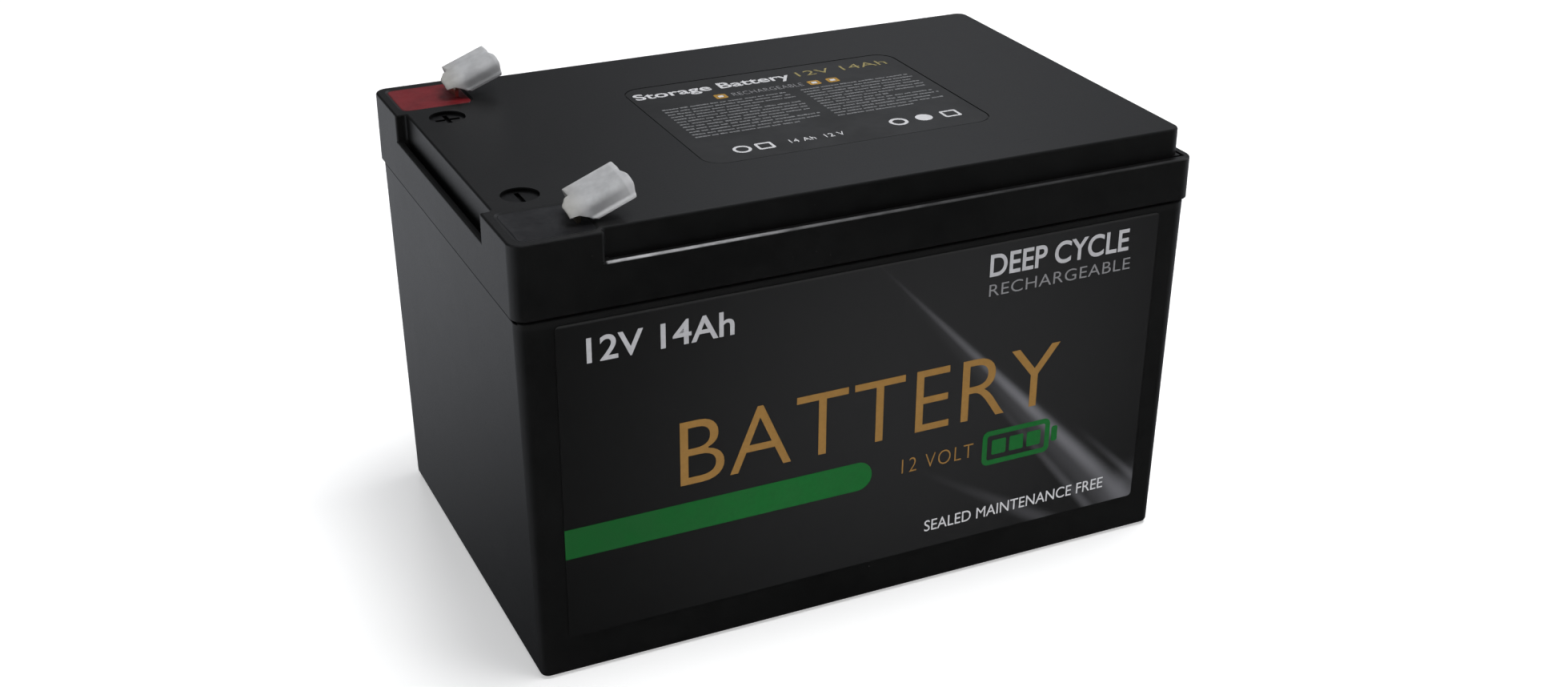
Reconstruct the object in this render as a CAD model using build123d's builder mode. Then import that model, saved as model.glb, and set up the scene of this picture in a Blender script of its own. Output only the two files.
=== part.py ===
from build123d import *
import os
from math import atan2, cos, degrees, radians, sin, tan

# Sealed 12 V deep cycle battery in the standard 151 x 98 mm case, 96.5 mm high, with two
# 6.3 mm blade terminals under slip-on caps. Millimetres. The origin is the centre
# of the foot, +Z is up, +X runs along the length and -Y is the labelled face. The
# terminals are at the -X end: positive to the rear, negative to the front.

os.makedirs("parts", exist_ok=True)

# ---------------------------------------------------------------- dimensions
# case
body_length = 151.0
body_width = 98.0
body_height = 96.5
corner_radius = 3.0
case_height = 80.4
case_length = 150.0
case_width = 97.0
case_draw = 1.2  # how far each side leans in from the rim to the foot
case_wall = 2.6
case_floor = 2.5
foot_fillet = 1.2
rim_fillet = 0.3
recess_length = 134.0
recess_width = 81.0
recess_depth = 0.6
tongue_height = 5.7
tongue_length = 147.6
tongue_width = 94.6
cavity_length = case_length - 2 * case_wall
cavity_width = case_width - 2 * case_wall
case_lean = degrees(atan2(case_draw, case_height))

# lid
seam_gap = 0.8  # open groove between the rim of the case and the skirt of the lid
skirt_bottom = case_height + seam_gap
skirt_inner_length = 148.0
skirt_inner_width = 95.0
flange_outer_length = 144.4
flange_outer_width = 91.4
flange_wall = 1.5
groove_top = 87.1
ledge_height = 90.45
step = 2.3  # inset of the raised top plate
plate_thickness = 2.5
plate_corner = 2.5
block_end = -57.2  # the corner blocks run from the -X end to here
block_inner = 30.1  # and from here out to the sides
top_edge_fillet = 0.5
ledge_rim_fillet = 0.5
channel_depth = 1.5
channel_width = 0.7
slot_channel_depth = 2.0
slot_channel_width = 1.1

# terminal wells
well_x1 = -72.8
well_x2 = -58.0
well_y1 = 32.6
well_y2 = 46.4
well_floor = 89.5
well_underside = 87.0
resin_top = 96.2
well_bevel_width = 0.9
well_bevel_depth = 0.3
terminal_y = 39.5

# polarity marks
mark_x = -65.6
mark_y = 24.6
mark_diameter = 7.8
mark_depth = 0.65
sign_depth = 1.3
sign_length = 5.3
sign_width = 1.0

# labels
top_label_x1, top_label_x2 = -26.4, 40.4
top_label_y1, top_label_y2 = -25.6, 25.2
top_label_corner = 4.5
top_label_recess = 0.25
top_label_thickness = 0.2
front_label_length = 135.6
front_label_z1, front_label_z2 = 8.8, 79.0
front_label_thickness = 0.15

# blade terminals: 6.35 x 0.8 mm
blade_width = 6.35
blade_thickness = 0.8
blade_length = 8.6
blade_tilt = 22.0
neck_x = -60.0
bend_z = 98.48
tail_bottom = 79.0
tail_width = 3.0

# terminal caps, measured in the tilted frame of the blade
cap_seats = {"positive": (-60.4, 98.95), "negative": (-59.7, 98.45)}
cap_width = 9.0
cap_depth = 4.6
cap_wall = 0.85
cap_near = -2.1
cap_far = 11.5
cap_end = 10.3
cap_rib_end = 10.9
cap_cavity_far = 10.2
cap_travel = 14.0

# cells
cell_diameter = 32.2
cell_length = 70.5
cell_pitch = 34.0
cell_bottom = 6.0
cell_top = cell_bottom + cell_length
button_diameter = 16.0
button_height = 1.0

# cell holders
holder_length = 138.0
holder_width = 70.0
holder_corner = 4.0
holder_grip = 9.2
holder_lip = 0.8
holder_bore = 32.6
holder_opening = 26.0
strip_thickness = 0.2
strip_clearance = 0.4
strip_width = 16.0
strip_span = 50.0
tab_end = 38.0

# insulating sheets, foam and the protection board
sheet_thickness = 0.3
tape_thickness = 0.8
board_length = 100.0
board_width = 50.0
board_x = 8.0
board_bottom = cell_top + holder_lip + sheet_thickness + tape_thickness
board_thickness = 1.6
board_top = board_bottom + board_thickness
lead_diameter = 3.0
sense_diameter = 1.2


def corner_radii(points):
    """The largest comfortable bend radius at each corner of a lead's route."""
    radii = []
    for a, b, c in zip(points, points[1:], points[2:]):
        run_in, run_out = Vector(*b) - Vector(*a), Vector(*c) - Vector(*b)
        half_turn = radians(run_in.get_angle(run_out)) / 2
        radii.append(0.45 * min(run_in.length, run_out.length) / tan(half_turn))
    return radii


def report_lead(name, edges, diameter, volume, radii):
    path_length = sum(edge.length for edge in edges)
    section = 3.14159265 * diameter**2 / 4
    print(
        f"{name}: length {path_length:.1f} mm, radii {[round(r, 1) for r in radii]}, "
        f"volume {volume:.1f} against section x length {section * path_length:.1f}"
    )


# ---------------------------------------------------------------- case
with BuildPart() as case:
    # tub, leaning in towards the foot
    with BuildSketch(Plane.XY.offset(case_height)):
        RectangleRounded(case_length, case_width, corner_radius)
    extrude(amount=-case_height, taper=case_lean)
    fillet(case.faces().sort_by(Axis.Z)[0].edges(), foot_fillet)
    fillet(case.faces().sort_by(Axis.Z)[-1].edges(), rim_fillet)
    # tongue that stands in the groove of the lid
    with BuildSketch(Plane.XY.offset(case_height)):
        RectangleRounded(tongue_length, tongue_width, corner_radius - 1.2)
    extrude(amount=tongue_height)
    # inside
    with BuildSketch(Plane.XY.offset(case_height)):
        RectangleRounded(cavity_length, cavity_width, 1.6)
    extrude(amount=case_floor - case_height, taper=case_lean, mode=Mode.SUBTRACT)
    with BuildSketch(Plane.XY.offset(case_height)):
        RectangleRounded(cavity_length, cavity_width, 1.6)
    extrude(amount=tongue_height, mode=Mode.SUBTRACT)
    # shallow recess under the foot, so that it stands on its rim
    with BuildSketch(Plane.XY):
        RectangleRounded(recess_length, recess_width, 5)
    extrude(amount=recess_depth, mode=Mode.SUBTRACT)
    # round moulding gate in the middle of the recess
    with BuildSketch(Plane.XY.offset(recess_depth)):
        Circle(5)
    extrude(amount=0.3, mode=Mode.SUBTRACT)
case.part.label = "case"
export_step(case.part, "parts/case.step")

# ---------------------------------------------------------------- lid
plate_x = body_length / 2 - step
plate_y = body_width / 2 - step
side_x = body_length / 2
side_y = body_width / 2

with BuildPart() as lid:
    # skirt
    with BuildSketch(Plane.XY.offset(skirt_bottom)):
        RectangleRounded(body_length, body_width, corner_radius)
    extrude(amount=ledge_height - skirt_bottom)
    # rounded rim of the ledge
    fillet(lid.faces().sort_by(Axis.Z)[-1].edges(), ledge_rim_fillet)
    # the corner blocks carry the side walls straight up through that rim
    with BuildSketch(Plane.XY.offset(ledge_height - 1)):
        with Locations(
            ((-side_x + block_end - 0.8) / 2, (block_inner + 0.6 + side_y) / 2),
            ((-side_x + block_end - 0.8) / 2, -(block_inner + 0.6 + side_y) / 2),
        ):
            Rectangle(block_end - 0.8 + side_x, side_y - block_inner - 0.6)
        RectangleRounded(body_length, body_width, corner_radius, mode=Mode.INTERSECT)
    extrude(amount=1)
    # raised plate with a full-size block at each terminal corner
    with BuildSketch(Plane.XY.offset(ledge_height)) as plate_outline:
        with BuildLine():
            Polyline(
                (-side_x, -side_y),
                (block_end, -side_y),
                (block_end, -plate_y),
                (plate_x, -plate_y),
                (plate_x, plate_y),
                (block_end, plate_y),
                (block_end, side_y),
                (-side_x, side_y),
                (-side_x, block_inner),
                (-plate_x, block_inner),
                (-plate_x, -block_inner),
                (-side_x, -block_inner),
                close=True,
            )
        make_face()
        corners = plate_outline.vertices()
        fillet(corners.filter_by(lambda v: v.X < -side_x + 0.1 and abs(v.Y) > side_y - 0.1), corner_radius)
        fillet(plate_outline.vertices().filter_by(lambda v: v.X > plate_x - 0.1), plate_corner)
        fillet(
            plate_outline.vertices().filter_by(
                lambda v: abs(v.X - block_end) < 0.1 and abs(v.Y) < side_y - 0.5
            ),
            1.0,
        )
        fillet(
            plate_outline.vertices().filter_by(
                lambda v: abs(v.X - block_end) < 0.1 and abs(v.Y) > side_y - 0.1
            ),
            0.8,
        )
        fillet(
            plate_outline.vertices().filter_by(
                lambda v: abs(abs(v.Y) - block_inner) < 0.1 and v.X < -side_x + 0.1
            ),
            0.6,
        )
        fillet(
            plate_outline.vertices().filter_by(
                lambda v: abs(abs(v.Y) - block_inner) < 0.1 and abs(v.X + plate_x) < 0.1
            ),
            0.8,
        )
    extrude(amount=body_height - ledge_height)
    fillet(lid.faces().sort_by(Axis.Z)[-1].outer_wire().edges(), top_edge_fillet)
    # inside, up to the underside of the plate
    with BuildSketch(Plane.XY.offset(skirt_bottom)):
        RectangleRounded(
            flange_outer_length - 2 * flange_wall, flange_outer_width - 2 * flange_wall, 1.0
        )
    extrude(amount=body_height - plate_thickness - skirt_bottom, mode=Mode.SUBTRACT)
    # cups below the two terminal wells
    with BuildSketch(Plane.XY.offset(well_underside)):
        with Locations(
            ((-70.8 + well_x2 + 2) / 2, (well_y1 - 2 + 44.3) / 2),
            ((-70.8 + well_x2 + 2) / 2, -(well_y1 - 2 + 44.3) / 2),
        ):
            Rectangle(well_x2 + 2 + 70.8, 44.3 - well_y1 + 2)
    extrude(amount=body_height - plate_thickness - well_underside + 0.1)
    # groove for the tongue of the case
    with BuildSketch(Plane.XY.offset(skirt_bottom)):
        RectangleRounded(skirt_inner_length, skirt_inner_width, 2.0)
        RectangleRounded(flange_outer_length, flange_outer_width, 1.4, mode=Mode.SUBTRACT)
    extrude(amount=groove_top - skirt_bottom, mode=Mode.SUBTRACT)
    # wells
    with BuildSketch(Plane.XY.offset(well_floor)):
        with Locations(
            ((well_x1 + well_x2) / 2, (well_y1 + well_y2) / 2),
            ((well_x1 + well_x2) / 2, -(well_y1 + well_y2) / 2),
        ):
            RectangleRounded(well_x2 - well_x1, well_y2 - well_y1, 1.2)
    extrude(amount=body_height - well_floor + 1, mode=Mode.SUBTRACT)
    # shallow bevel round the mouth of each well
    with BuildSketch(Plane.XY.offset(body_height)):
        with Locations(
            ((well_x1 + well_x2) / 2, (well_y1 + well_y2) / 2),
            ((well_x1 + well_x2) / 2, -(well_y1 + well_y2) / 2),
        ):
            RectangleRounded(
                well_x2 - well_x1 + 2 * well_bevel_width,
                well_y2 - well_y1 + 2 * well_bevel_width,
                1.2 + well_bevel_width,
            )
    extrude(
        amount=-well_bevel_depth,
        taper=degrees(atan2(well_bevel_width, well_bevel_depth)),
        mode=Mode.SUBTRACT,
    )
    # slots in the well floors for the terminal tails
    with BuildSketch(Plane.XY.offset(well_underside - 0.5)):
        with Locations((neck_x, terminal_y), (neck_x, -terminal_y)):
            Rectangle(blade_thickness + 0.4, tail_width + 0.6)
    extrude(amount=well_floor - well_underside + 1, mode=Mode.SUBTRACT)
    # shadow channel at the foot of the raised plate: front, right and rear
    with BuildSketch(Plane.XY.offset(ledge_height - channel_depth)):
        with Locations(
            ((block_end + 1.2 + plate_x + channel_width) / 2, plate_y + channel_width / 2),
            ((block_end + 1.2 + plate_x + channel_width) / 2, -plate_y - channel_width / 2),
        ):
            Rectangle(plate_x + channel_width - block_end - 1.2, channel_width)
        with Locations((plate_x + channel_width / 2, 0)):
            Rectangle(channel_width, 2 * (plate_y + channel_width))
    extrude(amount=channel_depth, mode=Mode.SUBTRACT)
    # and the wider one between the two blocks
    with BuildSketch(Plane.XY.offset(ledge_height - slot_channel_depth)):
        with Locations((-plate_x - slot_channel_width / 2, 0)):
            Rectangle(slot_channel_width, 2 * (block_inner - 1.0))
    extrude(amount=slot_channel_depth, mode=Mode.SUBTRACT)
    # polarity marks: round recesses with a sunk plus and a sunk minus
    with BuildSketch(Plane.XY.offset(body_height)):
        with Locations((mark_x, mark_y), (mark_x, -mark_y)):
            Circle(mark_diameter / 2)
    extrude(amount=-mark_depth, mode=Mode.SUBTRACT)
    with BuildSketch(Plane.XY.offset(body_height)):
        with Locations((mark_x, mark_y)):
            Rectangle(sign_length, sign_width)
            Rectangle(sign_width, sign_length)
        with Locations((mark_x, -mark_y)):
            Rectangle(sign_width, sign_length)
    extrude(amount=-sign_depth, mode=Mode.SUBTRACT)
    # bed of the top label
    with BuildSketch(Plane.XY.offset(body_height)):
        with Locations(((top_label_x1 + top_label_x2) / 2, (top_label_y1 + top_label_y2) / 2)):
            RectangleRounded(
                top_label_x2 - top_label_x1, top_label_y2 - top_label_y1, top_label_corner
            )
    extrude(amount=-top_label_recess, mode=Mode.SUBTRACT)
lid.part.label = "lid"
export_step(lid.part, "parts/lid.step")

# ---------------------------------------------------------------- lid adhesive
with BuildPart() as lid_adhesive:
    with BuildSketch(Plane.XY.offset(case_height + tongue_height)):
        RectangleRounded(skirt_inner_length, skirt_inner_width, 2.0)
        RectangleRounded(flange_outer_length, flange_outer_width, 1.4, mode=Mode.SUBTRACT)
    extrude(amount=groove_top - case_height - tongue_height)
lid_adhesive.part.label = "lid_adhesive"
export_step(lid_adhesive.part, "parts/lid_adhesive.step")

# ---------------------------------------------------------------- terminals
tilt_cos, tilt_sin = cos(radians(blade_tilt)), sin(radians(blade_tilt))
blade_tip_x = neck_x + blade_length * tilt_cos
blade_tip_z = bend_z + blade_length * tilt_sin


terminals = {}
for side, y in (("positive", terminal_y), ("negative", -terminal_y)):
    # one blade terminal, bent from a single strip
    with BuildPart() as terminal:
        # foot plate under the resin
        with BuildSketch(Plane.XY.offset(well_floor)):
            with Locations((neck_x - 4.6, y)):
                RectangleRounded(10.0, 9.4, 0.8)
        extrude(amount=blade_thickness)
        # neck and blade
        with BuildSketch(Plane.XZ.offset(-y)):
            with BuildLine() as centre_line:
                FilletPolyline(
                    (neck_x, well_floor),
                    (neck_x, bend_z),
                    (blade_tip_x, blade_tip_z),
                    radius=[1.1],
                )
            trace(line_width=blade_thickness)
        extrude(amount=blade_width / 2, both=True)
        # tail through the floor of the well
        with BuildSketch(Plane.XY.offset(tail_bottom)):
            with Locations((neck_x, y)):
                Rectangle(blade_thickness, tail_width)
        extrude(amount=well_floor - tail_bottom)
        # tapered tip and latch hole, cut square to the blade
        blade_plane = Plane(
            origin=(blade_tip_x, y, blade_tip_z),
            x_dir=(tilt_cos, 0, tilt_sin),
            z_dir=(-tilt_sin, 0, tilt_cos),
        )
        with BuildSketch(blade_plane):
            with BuildLine():
                Polyline((0.2, 1.9), (0.2, 4), (-1.7, 4), (-1.7, blade_width / 2), close=True)
            make_face()
            with BuildLine():
                Polyline((0.2, -1.9), (0.2, -4), (-1.7, -4), (-1.7, -blade_width / 2), close=True)
            make_face()
            with Locations((-4.0, 0)):
                Circle(0.9)
        extrude(amount=1, both=True, mode=Mode.SUBTRACT)
    terminal.part.label = f"{side}_terminal"
    export_step(terminal.part, f"parts/{side}_terminal.step")
    terminals[side] = terminal.part

# ---------------------------------------------------------------- potting resin
for side, y in (("positive", terminal_y), ("negative", -terminal_y)):
    with BuildPart() as resin:
        with BuildSketch(Plane.XY.offset(well_floor)):
            with Locations(((well_x1 + well_x2) / 2, y)):
                RectangleRounded(well_x2 - well_x1, well_y2 - well_y1, 1.2)
        extrude(amount=resin_top - well_floor)
        add(terminals[side], mode=Mode.SUBTRACT)
    resin.part.label = f"{side}_resin"
    export_step(resin.part, f"parts/{side}_resin.step")

# ---------------------------------------------------------------- terminal caps
for side, y in (("positive", terminal_y), ("negative", -terminal_y)):
    # a slip-on cap, drawn in the tilted frame of the blade
    along = Vector(tilt_cos, 0, tilt_sin)
    up = Vector(-tilt_sin, 0, tilt_cos)
    origin = Vector(cap_seats[side][0], y, cap_seats[side][1])
    with BuildPart() as cap:
        # sleeve, rounded over towards the front
        with BuildSketch(Plane(origin=origin + along * cap_near, x_dir=(0, 1, 0), z_dir=along)) as section_outer:
            Rectangle(cap_width, cap_depth)
            fillet(section_outer.vertices().group_by(Axis.Y)[-1].sort_by(Axis.X)[0], 2.9)
            fillet(section_outer.vertices().group_by(Axis.Y)[0], 0.6)
        extrude(amount=cap_far - cap_near)
        # upright rib along the rear edge of the top
        with BuildSketch(Plane(origin=origin + along * 0.1, x_dir=(0, 1, 0), z_dir=along)):
            with Locations((cap_width / 2 - 1.8, cap_depth / 2 - 0.5)):
                Rectangle(3.6, 1.26)
        extrude(amount=cap_rib_end - 0.1)
        # rounded far end and straight rib end, in plan
        with BuildSketch(Plane(origin=origin, x_dir=along, z_dir=up)):
            with BuildLine():
                Line((cap_far + 2, -6), (cap_end, -6))
                Line((cap_end, -6), (cap_end, -cap_width / 2))
                ThreePointArc((cap_end, -cap_width / 2), (cap_far, -0.9), (cap_rib_end, cap_width / 2 - 3.2))
                Line((cap_rib_end, cap_width / 2 - 3.2), (cap_rib_end, 6))
                Line((cap_rib_end, 6), (cap_far + 2, 6))
                Line((cap_far + 2, 6), (cap_far + 2, -6))
            make_face()
        extrude(amount=5, both=True, mode=Mode.SUBTRACT)
        # near end: the rear corner stands back behind the rib
        with BuildSketch(Plane(origin=origin, x_dir=along, z_dir=up)):
            with BuildLine():
                Polyline((-3, cap_width / 2 - 3.0), (-1.2, cap_width / 2 - 2.6), (0.1, cap_width / 2 - 2.2),
                         (0.1, 6), (-3, 6), close=True)
            make_face()
        extrude(amount=5, both=True, mode=Mode.SUBTRACT)
        # mouth, cut back along the underside to let the neck in
        with BuildSketch(Plane(origin=origin, x_dir=along, z_dir=(0, -1, 0))):
            with BuildLine():
                Polyline((-3, 0.45), (-2.13, 0.32), (0.1, -0.26), (2.55, -2.35), (2.55, -3.2), (-3, -3.2),
                         close=True)
            make_face()
        extrude(amount=6, both=True, mode=Mode.SUBTRACT)
        # inside
        with BuildSketch(Plane(origin=origin + along * (cap_near - 1), x_dir=(0, 1, 0), z_dir=along)) as section_inner:
            Rectangle(cap_width - 2 * cap_wall, cap_depth - 2 * cap_wall)
            fillet(section_inner.vertices().group_by(Axis.Y)[-1].sort_by(Axis.X)[0], 2.05)
        extrude(amount=cap_cavity_far - cap_near + 1, mode=Mode.SUBTRACT)
    cap.part.label = f"{side}_terminal_cap"
    export_step(cap.part, f"parts/{side}_terminal_cap.step")

# ---------------------------------------------------------------- labels
lean = radians(case_lean)
front_label_mid = (front_label_z1 + front_label_z2) / 2
front_face = Plane(
    origin=(0, -(case_width / 2 - case_draw * (1 - front_label_mid / case_height)), front_label_mid),
    x_dir=(1, 0, 0),
    z_dir=(0, -cos(lean), -sin(lean)),
)
with BuildPart() as front_label:
    with BuildSketch(front_face):
        RectangleRounded(front_label_length, front_label_z2 - front_label_z1, 1.0)
    extrude(amount=front_label_thickness)
front_label.part.label = "front_label"
export_step(front_label.part, "parts/front_label.step")

with BuildPart() as top_label:
    with BuildSketch(Plane.XY.offset(body_height - top_label_recess)):
        with Locations(((top_label_x1 + top_label_x2) / 2, (top_label_y1 + top_label_y2) / 2)):
            RectangleRounded(
                top_label_x2 - top_label_x1 - 0.5,
                top_label_y2 - top_label_y1 - 0.5,
                top_label_corner - 0.25,
            )
    extrude(amount=top_label_thickness)
top_label.part.label = "top_label"
export_step(top_label.part, "parts/top_label.step")

# ---------------------------------------------------------------- cells
# Four groups of two stand in a row along the length. Groups 1 and 3 stand with
# their positive button down, groups 2 and 4 with it up.
cell_number = 0
for column in range(4):
    x = (column - 1.5) * cell_pitch
    button_up = column in (1, 3)
    for y in (-cell_pitch / 2, cell_pitch / 2):
        cell_number += 1
        with BuildPart() as cell:
            with BuildSketch(Plane.XZ):
                with BuildLine():
                    Polyline(
                        (0, 0),
                        (cell_diameter / 2 - 0.6, 0),
                        (cell_diameter / 2, 0.6),
                        (cell_diameter / 2, cell_length - button_height - 0.8),
                        (cell_diameter / 2 - 0.8, cell_length - button_height),
                        (cell_diameter / 2 - 2.2, cell_length - button_height),
                        (cell_diameter / 2 - 2.2, cell_length - button_height - 0.7),
                        (button_diameter / 2, cell_length - button_height - 0.7),
                        (button_diameter / 2, cell_length - 0.3),
                        (button_diameter / 2 - 0.3, cell_length),
                        (0, cell_length),
                        close=True,
                    )
                make_face()
            revolve(axis=Axis.Z)
        if button_up:
            placed = cell.part.moved(Location((x, y, cell_bottom)))
        else:
            placed = cell.part.moved(Location((x, y, cell_top), (180, 0, 0)))
        placed.label = f"cell_{cell_number}"
        export_step(placed, f"parts/cell_{cell_number}.step")


# ---------------------------------------------------------------- bus strips
def strip_outline(x1, x2, tabs, margin=0.0):
    """Outline of a strip across the cell ends, with (x, width, y end) tabs."""
    with Locations(((x1 + x2) / 2, 0)):
        Rectangle(x2 - x1 + 2 * margin, strip_span + 2 * margin)
    for x, width, y_end in tabs:
        with Locations((x, y_end / 2)):
            Rectangle(width + 2 * margin, abs(y_end))


column_x = [(i - 1.5) * cell_pitch for i in range(4)]
half_strip = strip_width / 2
strips_above = {
    "pack_negative_strip": (column_x[0] - half_strip, column_x[0] + half_strip, []),
    "upper_link_strip": (column_x[1] - half_strip, column_x[2] + half_strip, [(-1.0, 5.0, -tab_end)]),
    "pack_positive_strip": (
        column_x[3] - half_strip,
        column_x[3] + half_strip,
        [(51.0, 5.0, -tab_end), (51.0, 12.0, 41.0)],
    ),
}
strips_below = {
    "lower_link_strip_1": (column_x[0] - half_strip, column_x[1] + half_strip, [(-34.0, 5.0, -tab_end)]),
    "lower_link_strip_2": (column_x[2] - half_strip, column_x[3] + half_strip, [(34.0, 5.0, -tab_end)]),
}
for strips, base in ((strips_above, cell_top), (strips_below, cell_bottom - strip_thickness)):
    for name, (x1, x2, tabs) in strips.items():
        with BuildPart() as strip:
            with BuildSketch(Plane.XY.offset(base)):
                strip_outline(x1, x2, tabs)
                # window between the columns of a linking strip
                if x2 - x1 > cell_pitch:
                    with Locations(((x1 + x2) / 2, 0)):
                        Rectangle(8, 26, mode=Mode.SUBTRACT)
                # slits that part the weld points
                for x in column_x:
                    if x1 < x < x2:
                        with Locations((x, -cell_pitch / 2), (x, cell_pitch / 2)):
                            Rectangle(1.2, 9, mode=Mode.SUBTRACT)
            extrude(amount=strip_thickness)
        strip.part.label = name
        export_step(strip.part, f"parts/{name}.step")

# ---------------------------------------------------------------- cell holders
with BuildPart() as lower_cell_holder:
    with BuildSketch(Plane.XY.offset(cell_bottom - holder_lip)):
        RectangleRounded(holder_length, holder_width, holder_corner)
    extrude(amount=holder_lip + holder_grip)
    with BuildSketch(Plane.XY.offset(cell_bottom)):
        with GridLocations(cell_pitch, cell_pitch, 4, 2):
            Circle(holder_bore / 2)
    extrude(amount=holder_grip, mode=Mode.SUBTRACT)
    with BuildSketch(Plane.XY.offset(cell_bottom - holder_lip)):
        with GridLocations(cell_pitch, cell_pitch, 4, 2):
            Circle(holder_opening / 2)
        for x1, x2, tabs in strips_below.values():
            strip_outline(x1, x2, tabs, margin=strip_clearance)
    extrude(amount=holder_lip, mode=Mode.SUBTRACT)
lower_cell_holder.part.label = "lower_cell_holder"
export_step(lower_cell_holder.part, "parts/lower_cell_holder.step")

with BuildPart() as upper_cell_holder:
    with BuildSketch(Plane.XY.offset(cell_top - holder_grip)):
        RectangleRounded(holder_length, holder_width, holder_corner)
    extrude(amount=holder_lip + holder_grip)
    with BuildSketch(Plane.XY.offset(cell_top - holder_grip)):
        with GridLocations(cell_pitch, cell_pitch, 4, 2):
            Circle(holder_bore / 2)
    extrude(amount=holder_grip, mode=Mode.SUBTRACT)
    with BuildSketch(Plane.XY.offset(cell_top)):
        with GridLocations(cell_pitch, cell_pitch, 4, 2):
            Circle(holder_opening / 2)
        for x1, x2, tabs in strips_above.values():
            strip_outline(x1, x2, tabs, margin=strip_clearance)
    extrude(amount=holder_lip, mode=Mode.SUBTRACT)
upper_cell_holder.part.label = "upper_cell_holder"
export_step(upper_cell_holder.part, "parts/upper_cell_holder.step")

# ---------------------------------------------------------------- insulating sheets
with BuildPart() as lower_insulating_sheet:
    with BuildSketch(Plane.XY.offset(cell_bottom - holder_lip - sheet_thickness)):
        RectangleRounded(holder_length - 2, holder_width - 2, 3)
    extrude(amount=sheet_thickness)
lower_insulating_sheet.part.label = "lower_insulating_sheet"
export_step(lower_insulating_sheet.part, "parts/lower_insulating_sheet.step")

with BuildPart() as upper_insulating_sheet:
    with BuildSketch(Plane.XY.offset(cell_top + holder_lip)):
        RectangleRounded(holder_length - 2, holder_width - 2, 3)
        # window over the pack-negative solder point
        with Locations((-53.0, 2.0)):
            Rectangle(16, 8, mode=Mode.SUBTRACT)
    extrude(amount=sheet_thickness)
upper_insulating_sheet.part.label = "upper_insulating_sheet"
export_step(upper_insulating_sheet.part, "parts/upper_insulating_sheet.step")

# ---------------------------------------------------------------- protection board
with BuildPart() as board_tape:
    with BuildSketch(Plane.XY.offset(board_bottom - tape_thickness)):
        with Locations((board_x - 28, 0), (board_x + 28, 0)):
            Rectangle(30, 40)
    extrude(amount=tape_thickness)
board_tape.part.label = "board_tape"
export_step(board_tape.part, "parts/board_tape.step")

with BuildPart() as protection_board:
    with BuildSketch(Plane.XY.offset(board_bottom)):
        with Locations((board_x, 0)):
            RectangleRounded(board_length, board_width, 2)
            with GridLocations(board_length - 7, board_width - 7, 2, 2):
                Circle(1.6, mode=Mode.SUBTRACT)
    extrude(amount=board_thickness)
protection_board.part.label = "protection_board"
export_step(protection_board.part, "parts/protection_board.step")

with BuildPart() as power_switches:
    with BuildSketch(Plane.XY.offset(board_top + 0.1)):
        with Locations((board_x + 14, 8)):
            with GridLocations(10.5, 15.0, 5, 2):
                Rectangle(6.6, 6.1)
    extrude(amount=2.2)
    # metal tab and two legs of each
    with BuildSketch(Plane.XY.offset(board_top)):
        with Locations((board_x + 14, 8)):
            with GridLocations(10.5, 15.0, 5, 2):
                with Locations((0, 2.8)):
                    Rectangle(5.3, 3.0)
                with Locations((-2.28, -4.2), (2.28, -4.2)):
                    Rectangle(0.8, 3.4)
    extrude(amount=0.5)
power_switches.part.label = "power_switches"
export_step(power_switches.part, "parts/power_switches.step")

with BuildPart() as shunt_resistors:
    with BuildSketch(Plane.XY.offset(board_top)):
        with Locations((-20, 10)):
            with GridLocations(7.6, 4.4, 2, 3):
                Rectangle(6.3, 3.2)
    extrude(amount=0.8)
shunt_resistors.part.label = "shunt_resistors"
export_step(shunt_resistors.part, "parts/shunt_resistors.step")

with BuildPart() as control_chip:
    with BuildSketch(Plane.XY.offset(board_top + 0.1)):
        with Locations((22, -15)):
            Rectangle(10.2, 5.3)
    extrude(amount=1.7)
    # two rows of legs
    with BuildSketch(Plane.XY.offset(board_top)):
        with Locations((22, -15)):
            with GridLocations(1.27, 6.2, 8, 2):
                Rectangle(0.42, 1.4)
    extrude(amount=0.4)
control_chip.part.label = "control_chip"
export_step(control_chip.part, "parts/control_chip.step")

header_width = 9.9
header_back = -17.4
header_mouth = -board_width / 2
with BuildPart() as balance_header:
    with BuildSketch(Plane.XY.offset(board_top)):
        with Locations((0, (header_back + header_mouth) / 2)):
            Rectangle(header_width, header_back - header_mouth)
    extrude(amount=4.8)
    with BuildSketch(Plane.XZ.offset(-header_mouth)):
        with Locations((0, board_top + 2.4)):
            Rectangle(8.1, 3.6)
    extrude(amount=-6.4, mode=Mode.SUBTRACT)
balance_header.part.label = "balance_header"
export_step(balance_header.part, "parts/balance_header.step")

plug_end = header_mouth - 1.5
sense_pitch = 2.0
with BuildPart() as balance_plug:
    with BuildSketch(Plane.XZ.offset(-plug_end)):
        with Locations((0, board_top + 2.4)):
            Rectangle(7.9, 3.4)
    extrude(amount=-7.9)
    # one catch rib on top
    with BuildSketch(Plane.XZ.offset(-plug_end)):
        with Locations((0, board_top + 4.25)):
            Rectangle(3.0, 0.5)
    extrude(amount=-1.4)
balance_plug.part.label = "balance_plug"
export_step(balance_plug.part, "parts/balance_plug.step")

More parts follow.
